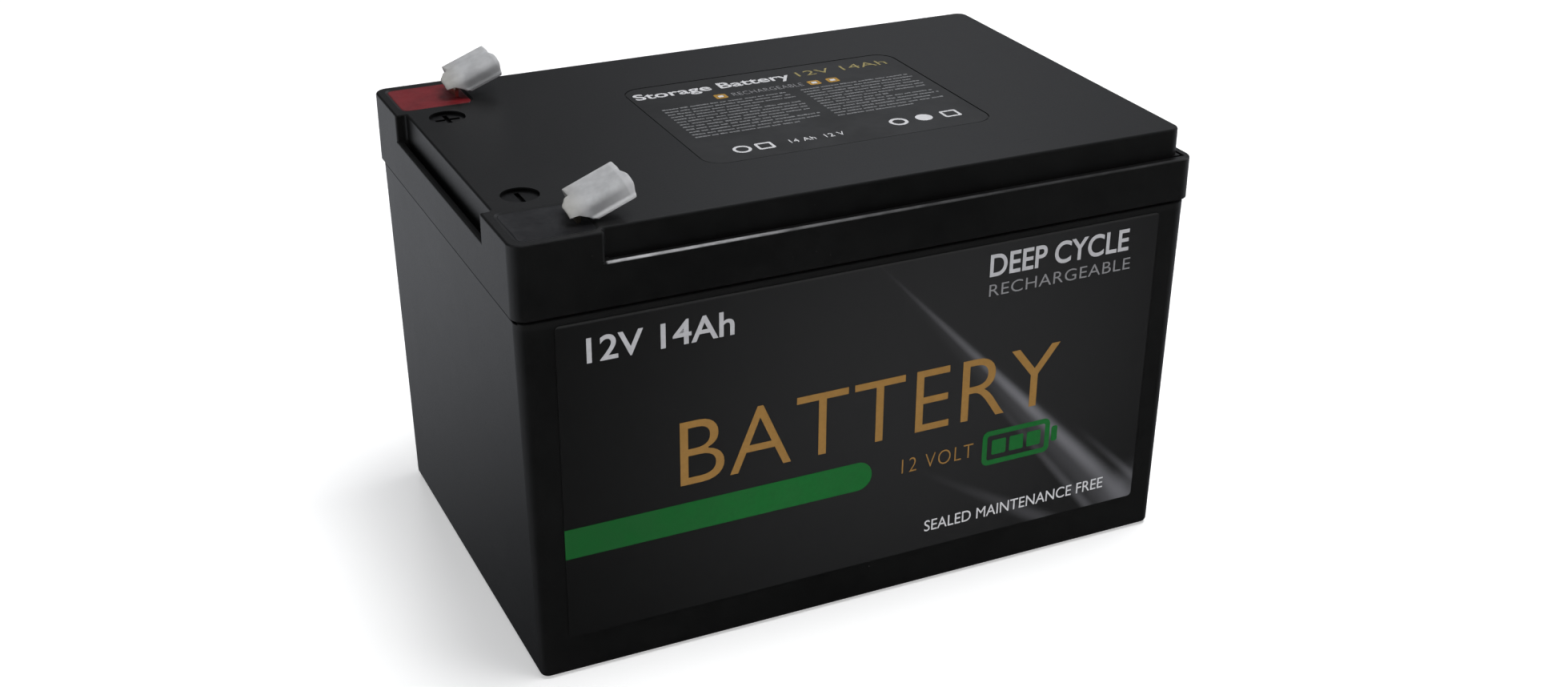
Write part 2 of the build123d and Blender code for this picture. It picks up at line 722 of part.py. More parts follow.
# ---------------------------------------------------------------- leads
sense_z = board_top + 2.4
drop_y = -36.4
sense_routes = [
    # to the lower link of groups 1 and 2
    [(-3, plug_end, sense_z), (-3, -30.6, sense_z), (-9, -33.6, 82.0), (-20, -34.4, 81.6),
     (-30, -35.2, 80.6), (-34, drop_y, 76.0), (-34, drop_y, 70.0),
     (-33.6, drop_y, 56.0), (-34.2, drop_y, 36.0), (-34, drop_y, 18.0), (-34, drop_y, cell_bottom)],
    # to the upper link
    [(-1, plug_end, sense_z), (-1, -32.0, sense_z), (-1, drop_y, 81.0), (-1, drop_y, cell_top + strip_thickness)],
    # to the lower link of groups 3 and 4
    [(1, plug_end, sense_z), (1, -31.0, sense_z), (8, -33.8, 82.0), (20, -34.4, 81.6),
     (30, -35.2, 80.6), (34, drop_y, 76.0), (34, drop_y, 70.0),
     (33.6, drop_y, 56.0), (34.2, drop_y, 36.0), (34, drop_y, 18.0), (34, drop_y, cell_bottom)],
    # to the pack-positive strip
    [(3, plug_end, sense_z), (3, -28.9, sense_z), (10, -31.0, 82.2), (24, -31.2, 82.0),
     (38, -32.2, 82.2), (47, -33.4, 82.0), (51, drop_y, 80.6), (51, drop_y, cell_top + strip_thickness)],
]


def in_line(a, b, c):
    return (Vector(*b) - Vector(*a)).get_angle(Vector(*c) - Vector(*b)) < 0.3


with BuildPart() as balance_leads:
    for route in sense_routes:
        tidy = [route[0]]
        for i in range(1, len(route) - 1):
            if not in_line(tidy[-1], route[i], route[i + 1]):
                tidy.append(route[i])
        tidy.append(route[-1])
        with BuildLine() as sense_path:
            FilletPolyline(*tidy, radius=corner_radii(tidy))
        with BuildSketch(Plane(origin=tidy[0], z_dir=sense_path.line % 0)):
            Circle(sense_diameter / 2)
        before = balance_leads.part.volume if balance_leads.part else 0
        sweep(path=sense_path.line)
        report_lead("balance lead", sense_path.edges(), sense_diameter,
                    balance_leads.part.volume - before, corner_radii(tidy))
balance_leads.part.label = "balance_leads"
export_step(balance_leads.part, "parts/balance_leads.step")

lead_rest = cell_top + strip_thickness + lead_diameter / 2
tail_face = neck_x + blade_thickness / 2
positive_route = [
    (57, 38.2, lead_rest), (38, 38.3, lead_rest), (14, 40.4, 79.4), (-12, 39.3, 80.4),
    (-36, 40.1, 81.7), (-48, 39.5, 82.0), (tail_face, 39.5, 82.0),
]
with BuildPart() as positive_lead:
    with BuildLine() as positive_path:
        FilletPolyline(*positive_route, radius=corner_radii(positive_route))
    with BuildSketch(Plane(origin=positive_route[0], z_dir=positive_path.line % 0)):
        Circle(lead_diameter / 2)
    sweep(path=positive_path.line)
positive_lead.part.label = "positive_lead"
export_step(positive_lead.part, "parts/positive_lead.step")
report_lead("positive lead", positive_path.edges(), lead_diameter,
            positive_lead.part.volume, corner_radii(positive_route))

board_rest = board_top + lead_diameter / 2
negative_route = [
    (-20, -19.0, board_rest), (-32, -20.0, board_rest), (-41, -28.5, board_rest + 0.2),
    (-48, -39.5, 82.0), (tail_face, -39.5, 82.0),
]
with BuildPart() as negative_lead:
    with BuildLine() as negative_path:
        FilletPolyline(*negative_route, radius=corner_radii(negative_route))
    with BuildSketch(Plane(origin=negative_route[0], z_dir=negative_path.line % 0)):
        Circle(lead_diameter / 2)
    sweep(path=negative_path.line)
negative_lead.part.label = "negative_lead"
export_step(negative_lead.part, "parts/negative_lead.step")
report_lead("negative lead", negative_path.edges(), lead_diameter,
            negative_lead.part.volume, corner_radii(negative_route))

pack_negative_route = [
    (-58.5, 2.0, lead_rest), (-52.5, 2.0, lead_rest), (-44.5, 2.6, board_rest + 0.2),
    (-31, 3.4, board_rest),
]
with BuildPart() as pack_negative_lead:
    with BuildLine() as pack_negative_path:
        FilletPolyline(*pack_negative_route, radius=corner_radii(pack_negative_route))
    with BuildSketch(Plane(origin=pack_negative_route[0], z_dir=pack_negative_path.line % 0)):
        Circle(lead_diameter / 2)
    sweep(path=pack_negative_path.line)
pack_negative_lead.part.label = "pack_negative_lead"
export_step(pack_negative_lead.part, "parts/pack_negative_lead.step")
report_lead("pack negative lead", pack_negative_path.edges(), lead_diameter,
            pack_negative_lead.part.volume, corner_radii(pack_negative_route))

# ---------------------------------------------------------------- foam pads
with BuildPart() as bottom_foam_pad:
    with BuildSketch(Plane.XY.offset(case_floor)):
        RectangleRounded(138, 84, 3)
    extrude(amount=cell_bottom - holder_lip - sheet_thickness - case_floor)
bottom_foam_pad.part.label = "bottom_foam_pad"
export_step(bottom_foam_pad.part, "parts/bottom_foam_pad.step")

with BuildPart() as front_foam_pad:
    with BuildSketch(Plane.XY.offset(8)):
        with Locations((0, -(38.4 + 44.4) / 2)):
            RectangleRounded(120, 6, 1)
    extrude(amount=64)
front_foam_pad.part.label = "front_foam_pad"
export_step(front_foam_pad.part, "parts/front_foam_pad.step")

with BuildPart() as rear_foam_pad:
    with BuildSketch(Plane.XY.offset(8)):
        with Locations((0, (35.2 + 44.4) / 2)):
            RectangleRounded(120, 9.2, 1)
    extrude(amount=64)
rear_foam_pad.part.label = "rear_foam_pad"
export_step(rear_foam_pad.part, "parts/rear_foam_pad.step")

with BuildPart() as top_foam_pad:
    with BuildSketch(Plane.XY.offset(board_top + 2.3)):
        with Locations((board_x + 14, 8)):
            RectangleRounded(60, 32, 2)
    extrude(amount=body_height - plate_thickness - board_top - 2.3)
top_foam_pad.part.label = "top_foam_pad"
export_step(top_foam_pad.part, "parts/top_foam_pad.step")
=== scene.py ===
import math
import random

import bmesh
import bpy
import numpy as np
from mathutils import Matrix, Vector


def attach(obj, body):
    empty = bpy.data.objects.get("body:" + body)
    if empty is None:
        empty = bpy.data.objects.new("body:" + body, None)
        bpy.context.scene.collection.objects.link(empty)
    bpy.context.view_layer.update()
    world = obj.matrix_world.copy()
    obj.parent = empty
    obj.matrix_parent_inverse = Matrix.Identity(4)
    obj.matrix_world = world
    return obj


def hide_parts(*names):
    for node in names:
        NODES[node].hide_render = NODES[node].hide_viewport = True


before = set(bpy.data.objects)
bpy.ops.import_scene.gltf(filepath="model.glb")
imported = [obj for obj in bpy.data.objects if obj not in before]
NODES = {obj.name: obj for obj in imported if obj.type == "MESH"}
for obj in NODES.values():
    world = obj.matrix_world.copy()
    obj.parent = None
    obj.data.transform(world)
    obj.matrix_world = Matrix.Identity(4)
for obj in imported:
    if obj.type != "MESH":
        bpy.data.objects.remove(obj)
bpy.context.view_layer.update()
BODY = "battery"
MM = 0.001

# ------------------------------------------------------------------ camera
# the viewing angle, distance, lens and small roll were solved from the object's outline
scene = bpy.context.scene
cam_data = bpy.data.cameras.new("camera")
cam_data.lens = 44.834
cam_data.sensor_width = 36.0
cam_data.sensor_fit = "HORIZONTAL"
cam = bpy.data.objects.new("camera", cam_data)
scene.collection.objects.link(cam)
azimuth, elevation, roll = math.radians(-25.1708), math.radians(26.0895), math.radians(0.1777)
aim, distance = Vector((-0.0022631, -0.0098865, 0.045)), 0.43558
back = Vector((math.sin(azimuth) * math.cos(elevation), -math.cos(azimuth) * math.cos(elevation), math.sin(elevation)))
side = (-back).cross(Vector((0, 0, 1))).normalized()
up = side.cross(-back)
axis_x = side * math.cos(roll) + up * math.sin(roll)
axis_y = up * math.cos(roll) - side * math.sin(roll)
eye = aim + back * distance
cam.matrix_world = Matrix((
    (axis_x.x, axis_y.x, back.x, eye.x),
    (axis_x.y, axis_y.y, back.y, eye.y),
    (axis_x.z, axis_y.z, back.z, eye.z),
    (0, 0, 0, 1),
))
cam_data.clip_start, cam_data.clip_end = 0.01, 50
scene.camera = cam
scene.view_settings.view_transform = "Standard"


# ------------------------------------------------------------------ material tools
class Shader:
    """A Principled material and short calls that add nodes to it."""

    def __init__(self, name, **inputs):
        self.mat = bpy.data.materials.new(name)
        self.mat.use_nodes = True
        self.tree = self.mat.node_tree
        self.bsdf = self.tree.nodes["Principled BSDF"]
        for key, value in inputs.items():
            self.bsdf.inputs[key.replace("_", " ")].default_value = value
        self._coord = None

    def node(self, kind, **props):
        n = self.tree.nodes.new("ShaderNode" + kind)
        for key, value in props.items():
            setattr(n, key, value)
        return n

    def wire(self, value, socket):
        if isinstance(value, bpy.types.NodeSocket):
            self.tree.links.new(value, socket)
        else:
            socket.default_value = value

    def link(self, value, name):
        self.wire(value, self.bsdf.inputs[name])

    @property
    def coord(self):
        if self._coord is None:
            self._coord = self.node("TexCoord").outputs["Object"]
        return self._coord

    def stretch(self, scale, offset=(0, 0, 0), rotation=(0, 0, 0)):
        m = self.node("Mapping")
        self.wire(self.coord, m.inputs["Vector"])
        m.inputs["Scale"].default_value = scale
        m.inputs["Location"].default_value = offset
        m.inputs["Rotation"].default_value = rotation
        return m.outputs["Vector"]

    def noise(self, scale, detail=3.0, rough=0.5, coord=None, distortion=0.0):
        n = self.node("TexNoise")
        self.wire(coord or self.coord, n.inputs["Vector"])
        n.inputs["Scale"].default_value = scale
        n.inputs["Detail"].default_value = detail
        n.inputs["Roughness"].default_value = rough
        n.inputs["Distortion"].default_value = distortion
        return n.outputs["Fac"]

    def cells(self, scale, coord=None, feature="F1", randomness=1.0):
        n = self.node("TexVoronoi", feature=feature)
        self.wire(coord or self.coord, n.inputs["Vector"])
        n.inputs["Scale"].default_value = scale
        n.inputs["Randomness"].default_value = randomness
        return n.outputs["Distance"]

    def wave(self, scale, direction="X", distortion=0.0, coord=None):
        n = self.node("TexWave", wave_type="BANDS", bands_direction=direction)
        self.wire(coord or self.coord, n.inputs["Vector"])
        n.inputs["Scale"].default_value = scale
        n.inputs["Distortion"].default_value = distortion
        return n.outputs["Fac"]

    def math(self, op, a, b=0.0, c=0.0, clamp=False):
        n = self.node("Math", operation=op, use_clamp=clamp)
        for value, socket in zip((a, b, c), n.inputs):
            self.wire(value, socket)
        return n.outputs[0]

    def remap(self, value, low, high, to_low=0.0, to_high=1.0, smooth=True):
        n = self.node("MapRange", interpolation_type="SMOOTHSTEP" if smooth else "LINEAR", clamp=True)
        self.wire(value, n.inputs["Value"])
        for key, number in (("From Min", low), ("From Max", high), ("To Min", to_low), ("To Max", to_high)):
            self.wire(number, n.inputs[key])
        return n.outputs["Result"]

    def mix(self, fac, a, b):
        n = self.node("Mix", data_type="RGBA")
        self.wire(fac, n.inputs["Factor"])
        for value, socket in ((a, n.inputs[6]), (b, n.inputs[7])):
            self.wire(value, socket)
        return n.outputs[2]

    def xyz(self, coord=None):
        n = self.node("SeparateXYZ")
        self.wire(coord or self.coord, n.inputs[0])
        return n.outputs

    def bump(self, height, strength, distance, normal=None):
        n = self.node("Bump")
        self.wire(height, n.inputs["Height"])
        n.inputs["Strength"].default_value = strength
        n.inputs["Distance"].default_value = distance
        if normal is not None:
            self.wire(normal, n.inputs["Normal"])
        return n.outputs["Normal"]

    def edges(self, radius):
        """0 on flat faces, rising towards 1 on edges."""
        soft = self.node("Bevel", samples=6)
        soft.inputs["Radius"].default_value = radius
        hard = self.node("NewGeometry")
        dot = self.node("VectorMath", operation="DOT_PRODUCT")
        self.wire(soft.outputs[0], dot.inputs[0])
        self.wire(hard.outputs["Normal"], dot.inputs[1])
        return self.math("SUBTRACT", 1.0, dot.outputs["Value"], clamp=True)


def grey(v, a=1.0):
    return (v, v, v, a)


def moulded_black(name, tone, rough, grain_scale, grain_depth, wear=0.5, lid=False):
    """Injection-moulded black plastic: fine spark grain, handling haze, dust and worn edges, with painted light on the
    +X end and the case rim, painted shade in the seam and the signs, and a pale line painted on the ledge rim.
    """
    s = Shader(name, IOR=1.5)
    big = s.noise(26, 4, 0.6)
    mid = s.noise(240, 4, 0.65)
    fine = s.noise(grain_scale, 2, 0.6)
    cloudy = s.math("ADD", s.math("MULTIPLY", big, 0.6), s.math("MULTIPLY", mid, 0.4))
    base = s.mix(s.remap(cloudy, 0.35, 0.68), grey(tone * 0.8), grey(tone * 1.25))
    # pin-prick dust and lint
    specks = s.remap(s.cells(620), 0.045, 0.09, 1.0, 0.0)
    patchy = s.remap(s.noise(70, 2, 0.5), 0.56, 0.72)
    dust = s.math("MULTIPLY", specks, patchy)
    base = s.mix(s.math("MULTIPLY", dust, 0.55), base, (0.12, 0.118, 0.11, 1))
    # short hairline scratches in two directions
    scratch_a = s.remap(s.noise(90, 3, 0.7, s.stretch((1, 14, 14), rotation=(0.3, 0.2, 0.5))), 0.70, 0.76)
    scratch_b = s.remap(s.noise(80, 3, 0.7, s.stretch((14, 1, 12), rotation=(0.1, 0.5, -0.4))), 0.71, 0.77)
    scratches = s.math("ADD", scratch_a, scratch_b, clamp=True)
    base = s.mix(s.math("MULTIPLY", scratches, 0.35), base, grey(tone * 2.6))
    if wear:
        edge = s.math("MULTIPLY", s.remap(s.edges(0.0007), 0.04, 0.28),
                      s.remap(s.noise(160, 4, 0.7), 0.40, 0.66))
        base = s.mix(s.math("MULTIPLY", edge, wear), base, grey(tone * 3.4))
    x, y, z = s.xyz()
    # painted light: the plastic is painted paler from the middle out towards the +X end
    base = s.mix(s.remap(x, 0.0, 0.075, 0.0, 0.25), base, grey(tone * 2.0))
    if not lid:
        # painted light: the rim of the case above the label is painted paler
        base = s.mix(s.remap(z, 0.0786, 0.0794, 0.0, 0.8), base, grey(0.010))
        # painted shade: a dark line along the seam on the terminal end, with its reflection turned down
        seam_shade = s.math("MULTIPLY", s.remap(z, 0.08004, 0.08014), s.remap(x, -0.07440, -0.07450))
        seam_shade = s.math("MULTIPLY", seam_shade, s.remap(s.noise(300, 3, 0.6, s.stretch((1, 1, 0.1))), 0.25, 0.45, 0.55, 1.0))
        base = s.mix(seam_shade, base, grey(0.0006))
        s.link(s.remap(seam_shade, 0.0, 1.0, 0.5, 0.06, smooth=False), "Specular IOR Level")
    else:
        # painted shade: the sunk polarity signs are painted darker
        sign_recess_shade = s.math("MULTIPLY", s.remap(z, 0.09628, 0.09612, 0.0, 1.0), s.math("MULTIPLY", s.remap(x, -0.0735, -0.0725, 0.0, 1.0), s.remap(x, -0.0585, -0.0578, 1.0, 0.0)))
        sign_recess_shade = s.math("MULTIPLY", sign_recess_shade, s.remap(s.math("ABSOLUTE", y), 0.0305, 0.0312, 1.0, 0.0))
        base = s.mix(sign_recess_shade, base, grey(0.0008))
        # the rim of the front ledge is painted with a pale ragged line next to the terminal corner, fading along its
        # length
        near_rim = s.remap(s.math("ABSOLUTE", s.math("SUBTRACT", z, 0.09030)), 0.00008, 0.00036, 1.0, 0.0)
        on_front = s.remap(y, -0.04835, -0.04860)
        fading = s.math("ADD", s.remap(x, -0.0440, -0.0100, 0.62, 0.0), s.remap(x, -0.0350, 0.0400, 0.30, 0.06))
        clear = s.remap(x, -0.0572, -0.0566)
        ragged = s.remap(s.noise(420, 3, 0.6, s.stretch((0.35, 1, 1))), 0.30, 0.62, 0.45, 1.0)
        pale_ledge_line = s.math("MULTIPLY", s.math("MULTIPLY", near_rim, on_front), s.math("MULTIPLY", s.math("MULTIPLY", fading, clear), ragged))
        base = s.mix(pale_ledge_line, base, (0.46, 0.46, 0.47, 1))
    s.link(base, "Base Color")
    r = s.math("ADD", rough - 0.06, s.math("MULTIPLY", cloudy, 0.10))
    r = s.math("ADD", r, s.math("MULTIPLY", s.math("SUBTRACT", fine, 0.5), 0.10))
    r = s.math("ADD", r, s.math("MULTIPLY", dust, 0.2))
    s.link(s.math("ADD", r, s.math("MULTIPLY", scratches, 0.10)), "Roughness")
    grain = s.bump(fine, 0.55, grain_depth)
    sink = s.bump(s.noise(38, 1, 0.4), 0.25, 0.00009, grain)
    s.link(s.bump(scratches, 0.35, 0.000015, sink), "Normal")
    return s.mat


def label_film(name, tone, front):
    """Satin printed film with a fine orange-peel and, on the front, a drift of tone and a fan of light."""
    s = Shader(name, IOR=1.46)
    x, _, z = s.xyz()
    drift = s.noise(30, 3, 0.5)
    base = s.mix(drift, grey(tone * 0.88), grey(tone * 1.12))
    if front:
        # the print is a little paler towards its upper right
        def from_point(ax, az):
            dx = s.math("SUBTRACT", x, ax * MM)
            dz = s.math("SUBTRACT", z, az * MM)
            return dx, dz, s.math("SQRT", s.math("ADD", s.math("MULTIPLY", dx, dx), s.math("MULTIPLY", dz, dz)))

        _, _, off_centre = from_point(16, 54)
        base = s.mix(s.remap(off_centre, 8 * MM, 100 * MM, 1.0, 0.0), base, (tone * 3.5, tone * 3.5, tone * 3.62, 1))
        # painted highlight: a pale line along the top cut edge
        base = s.mix(s.remap(z, 78.35 * MM, 78.7 * MM, 0.0, 0.75), base, grey(0.030))

        # soft beams fanning out from a point above the label's upper edge
        def beam(ax, az, angle, half, near, far, gain, soft_end=0.0):
            dx, dz, reach = from_point(ax, az)
            turn = s.math("ARCTAN2", dz, dx)
            off = s.math("ABSOLUTE", s.math("SUBTRACT", turn, math.radians(angle)))
            across = s.remap(off, 0.0, math.radians(half), 1.0, 0.0)
            along = s.remap(reach, near * MM, far * MM)
            return s.math("MULTIPLY", s.math("MULTIPLY", across, along), gain)

        light = s.math("MULTIPLY", beam(-6.5, 86.6, -46.9, 1.8, 6, 66, 0.175), s.remap(from_point(-6.5, 86.6)[2], 84 * MM, 112 * MM, 1.0, 0.35))
        for extra in (
            beam(-6.5, 86.8, -48.3, 3.9, 10, 104, 0.075),
            beam(-6.5, 86.8, -51.3, 1.0, 44, 110, 0.10),
            beam(-6.5, 87.4, -44.6, 0.8, 78, 112, 0.10),
            beam(-8, 41, -31.9, 2.6, 20, 70, 0.075),
        ):
            light = s.math("ADD", light, extra)
        _, _, to_corner = from_point(67, 11)
        light = s.math("ADD", light, s.remap(to_corner, 1 * MM, 9 * MM, 0.07, 0.0))
        mottled = s.math("MULTIPLY", light, s.remap(s.noise(60, 2, 0.5), 0.2, 0.8, 0.88, 1.12))
        base = s.mix(mottled, base, (0.60, 0.60, 0.66, 1))
    specks = s.math("MULTIPLY", s.remap(s.cells(480), 0.04, 0.075, 1.0, 0.0), s.remap(s.noise(60, 2, 0.5), 0.55, 0.72))
    base = s.mix(s.math("MULTIPLY", specks, 0.25), base, grey(0.08))
    s.link(base, "Base Color")
    s.link(s.remap(s.noise(120, 3, 0.6), 0.2, 0.8, 0.30, 0.42), "Roughness")
    peel = s.bump(s.noise(900, 2, 0.5), 0.25, 0.00002)
    s.link(s.bump(s.noise(45, 2, 0.5), 0.2, 0.00008, peel), "Normal")
    return s.mat


def ink(name, colour, rough=0.38, metal=0.0, left=1.0):
    """Screen-printed ink: slightly uneven coverage, with a faint dot at the edge of sight."""
    s = Shader(name, IOR=1.48, Metallic=metal)
    cover = s.math("MULTIPLY", s.remap(s.noise(900, 3, 0.6), 0.25, 0.75, 0.0, 1.0), s.remap(s.noise(90, 2, 0.5), 0.2, 0.8, 0.6, 1.0))
    dark = (colour[0] * 0.86, colour[1] * 0.86, colour[2] * 0.86, 1)
    base = s.mix(cover, dark, (*colour, 1))
    if left != 1.0:
        base = s.mix(s.remap(s.xyz()[0], -0.066, -0.015, 1.0, 0.0), base, (*[c * left for c in colour], 1))
    s.link(base, "Base Color")
    s.link(s.remap(s.noise(300, 2, 0.5), 0.2, 0.8, rough - 0.05, rough + 0.08), "Roughness")
    s.link(s.bump(s.noise(1500, 2, 0.5), 0.2, 0.00001), "Normal")
    return s.mat


def epoxy(name, colour, deep):
    """Poured epoxy: glossy, gently wavy, with a few trapped bubbles and dust."""
    s = Shader(name, IOR=1.53)
    s.bsdf.inputs["Coat Weight"].default_value = 0.05
    s.bsdf.inputs["Coat Roughness"].default_value = 0.12
    tone = s.remap(s.noise(220, 3, 0.6), 0.3, 0.7)
    base = s.mix(tone, (*deep, 1), (*colour, 1))
    bubbles = s.remap(s.cells(900), 0.03, 0.10, 1.0, 0.0)
    base = s.mix(s.math("MULTIPLY", bubbles, 0.3), base, (min(1, colour[0] * 1.8 + 0.03), colour[1] * 1.8 + 0.03, colour[2] * 1.8 + 0.03, 1))
    s.link(base, "Base Color")
    s.link(s.remap(s.noise(400, 3, 0.6), 0.2, 0.8, 0.34, 0.50), "Roughness")
    waves = s.bump(s.noise(210, 2, 0.5), 0.5, 0.00012)
    s.link(s.bump(bubbles, 0.4, 0.00006, waves), "Normal")
    return s.mat


def plated(name, colour, rough=0.26, line_scale=(1, 40, 1)):
    """Tin or nickel plated strip with rolling lines and light tarnish."""
    s = Shader(name, Metallic=1.0)
    lines = s.noise(500, 3, 0.6, s.stretch(line_scale))
    tarnish = s.noise(150, 4, 0.65)
    base = s.mix(s.remap(tarnish, 0.35, 0.75), (*colour, 1), (colour[0] * 0.72, colour[1] * 0.68, colour[2] * 0.6, 1))
    s.link(s.mix(s.math("MULTIPLY", lines, 0.3), base, (*[c * 0.8 for c in colour], 1)), "Base Color")
    s.link(s.math("ADD", rough, s.math("MULTIPLY", lines, 0.16)), "Roughness")
    s.link(s.bump(lines, 0.3, 0.00001), "Normal")
    return s.mat


def soft_plastic(name, colour, rough, tone_scale=60.0, grain=900.0, depth=0.00002, spread=0.12):
    s = Shader(name, IOR=1.49)
    tone = s.noise(tone_scale, 4, 0.6)
    light = tuple(min(1, c * (1 + spread)) for c in colour)
    dark = tuple(c * (1 - spread) for c in colour)
    s.link(s.mix(tone, (*dark, 1), (*light, 1)), "Base Color")
    s.link(s.remap(s.noise(tone_scale * 3, 3, 0.6), 0.2, 0.8, rough - 0.06, rough + 0.08), "Roughness")
    s.link(s.bump(s.noise(grain, 2, 0.5), 0.4, depth), "Normal")
    return s.mat


def foam(name, colour):
    """Closed-cell foam: pits over a matte body, with painted shade in the pits."""
    s = Shader(name, Roughness=0.92, IOR=1.4)
    pits = s.cells(1400)
    # painted shade: the pit centres are painted darker
    tone = s.mix(s.remap(pits, 0.0, 0.45), (*[c * 0.5 for c in colour], 1), (*colour, 1))
    s.link(s.mix(s.noise(50, 3, 0.5), tone, (*[c * 1.3 for c in colour], 1)), "Base Color")
    s.link(s.bump(pits, 0.8, 0.0002), "Normal")
    return s.mat


def fish_paper(name, colour):
    s = Shader(name, Roughness=0.7)
    fibres = s.noise(260, 4, 0.7, s.stretch((1, 6, 1)))
    s.link(s.mix(fibres, (*[c * 0.8 for c in colour], 1), (*[min(1, c * 1.15) for c in colour], 1)), "Base Color")
    s.link(s.bump(fibres, 0.4, 0.00005), "Normal")
    return s.mat


def circuit(name):
    """Green solder mask over traces that show as slightly lighter bands, with bare pads."""
    s = Shader(name, IOR=1.5, Roughness=0.3)
    tracks = s.math("MAXIMUM", s.remap(s.wave(95, "X", 6.0), 0.72, 0.80), s.remap(s.wave(80, "Y", 5.0), 0.80, 0.86))
    base = s.mix(tracks, (0.006, 0.085, 0.035, 1), (0.012, 0.16, 0.06, 1))
    pads = s.remap(s.cells(260, randomness=0.8), 0.16, 0.2, 1.0, 0.0)
    pads = s.math("MULTIPLY", pads, s.remap(s.noise(45, 1, 0.5), 0.52, 0.56))
    s.link(s.mix(pads, base, (0.62, 0.55, 0.38, 1)), "Base Color")
    s.link(s.math("MULTIPLY", pads, 0.9), "Metallic")
    s.link(s.bump(s.math("ADD", tracks, pads), 0.5, 0.00004), "Normal")
    return s.mat


def translucent_cap(name):
    """Milky translucent polyethylene: light passes and scatters; the edges, the hem and the end rim are painted paler,
    and the lower sleeve is painted darker.
    """
    s = Shader(name, IOR=1.5)
    s.bsdf.inputs["Transmission Weight"].default_value = 0.22
    s.bsdf.inputs["Subsurface Weight"].default_value = 0.5
    s.bsdf.inputs["Subsurface Radius"].default_value = (0.003, 0.003, 0.0031)
    s.bsdf.inputs["Subsurface Scale"].default_value = 0.5
    cloud = s.noise(330, 3, 0.55)
    base = s.mix(s.remap(cloud, 0.3, 0.7), (0.44, 0.445, 0.455, 1), (0.56, 0.565, 0.575, 1))
    # a touch of yellow towards the mouth; the rims are painted paler further down
    x, _, z = s.xyz()
    base = s.mix(s.remap(x, -0.0625, -0.0575, 0.35, 0.0), base, (0.36, 0.33, 0.25, 1))
    # height across the slanted sleeve: painted shade, darker below
    across = s.math("SUBTRACT", s.math("MULTIPLY", s.math("SUBTRACT", z, 0.09873), 0.927), s.math("MULTIPLY", s.math("ADD", x, 0.0600), 0.375))
    reach = s.math("ADD", s.math("MULTIPLY", s.math("SUBTRACT", z, 0.09873), 0.375), s.math("MULTIPLY", s.math("ADD", x, 0.0600), 0.927))
    shade = s.math("MULTIPLY", s.remap(across, -0.0019, -0.0014), s.remap(across, -0.0004, 0.0012, 1.0, 0.0))
    shade = s.math("MULTIPLY", shade, s.math("MULTIPLY", s.remap(reach, 0.0002, 0.0030), s.remap(reach, 0.0050, 0.0105, 0.62, 0.30)))
    base = s.mix(shade, base, (0.17, 0.17, 0.175, 1))
    # painted light: the hem and the closed end's rim are painted paler
    hem = s.math("MAXIMUM", s.remap(across, -0.0016, -0.0020, 0.0, 0.55), s.remap(reach, 0.0098, 0.0103, 0.0, 0.45))
    base = s.mix(hem, base, (0.70, 0.70, 0.71, 1))
    # painted light: the edges are painted paler
    rim = s.remap(s.edges(0.0005), 0.03, 0.3)
    s.link(s.mix(s.math("MULTIPLY", rim, 0.55), base, (0.66, 0.66, 0.66, 1)), "Base Color")
    s.link(s.remap(s.noise(700, 3, 0.6), 0.2, 0.8, 0.36, 0.50), "Roughness")
    ripple = s.bump(s.noise(260, 2, 0.5, s.stretch((1, 3, 1))), 0.25, 0.00010)
    s.link(s.bump(s.noise(1800, 2, 0.5), 0.3, 0.00002, ripple), "Normal")
    return s.mat


M = {
    "case": moulded_black("case_abs", 0.0058, 0.36, 3200, 0.000026),
    "lid": moulded_black("lid_abs", 0.0058, 0.38, 2600, 0.000024, wear=0.35, lid=True),
    "front_film": label_film("front_film", 0.0066, True),
    "top_film": label_film("top_film", 0.0100, False),
    "white_ink": ink("white_ink", (0.48, 0.48, 0.50)),
    "bright_ink": ink("bright_ink", (0.66, 0.66, 0.68)),
    "grey_ink": ink("grey_ink", (0.19, 0.193, 0.20)),
    "straw_ink": ink("straw_ink", (0.30, 0.25, 0.095)),
    "pale_ink": ink("pale_ink", (0.24, 0.24, 0.25)),
    "gold_ink": ink("gold_ink", (0.362, 0.191, 0.041), 0.40, 0.1),
    "green_ink": ink("green_ink", (0.0032, 0.150, 0.0225), 0.36, left=0.68),
    "amber_ink": ink("amber_ink", (0.42, 0.23, 0.03), 0.4),
    "red_epoxy": epoxy("red_epoxy", (0.160, 0.0115, 0.0155), (0.106, 0.0068, 0.0097)),
    "black_epoxy": epoxy("black_epoxy", (0.011, 0.011, 0.012), (0.005, 0.005, 0.006)),
    "cap": translucent_cap("cap_polyethylene"),
    "terminal": plated("tin_plate", (0.62, 0.55, 0.44)),
    "nickel": plated("nickel_strip", (0.66, 0.63, 0.57), 0.3, (40, 1, 1)),
    "adhesive": soft_plastic("adhesive_epoxy", (0.10, 0.095, 0.08), 0.25),
    "sleeve": soft_plastic("cell_sleeve", (0.035, 0.16, 0.42), 0.32, 40, 1200, 0.00001, 0.08),
    "holder": soft_plastic("holder_abs", (0.03, 0.03, 0.032), 0.55),
    "sheet": fish_paper("fish_paper", (0.42, 0.47, 0.27)),
    "tape": foam("foam_tape", (0.55, 0.55, 0.53)),
    "foam": foam("eva_foam", (0.045, 0.045, 0.05)),
    "board": circuit("solder_mask"),
    "chip": soft_plastic("chip_epoxy", (0.02, 0.02, 0.021), 0.6),
    "header": soft_plastic("nylon_header", (0.74, 0.70, 0.58), 0.45),
    "red_lead": soft_plastic("red_silicone", (0.42, 0.012, 0.012), 0.42),
    "black_lead": soft_plastic("black_silicone", (0.014, 0.014, 0.015), 0.42),
    "white_lead": soft_plastic("white_silicone", (0.72, 0.72, 0.70), 0.42),
}
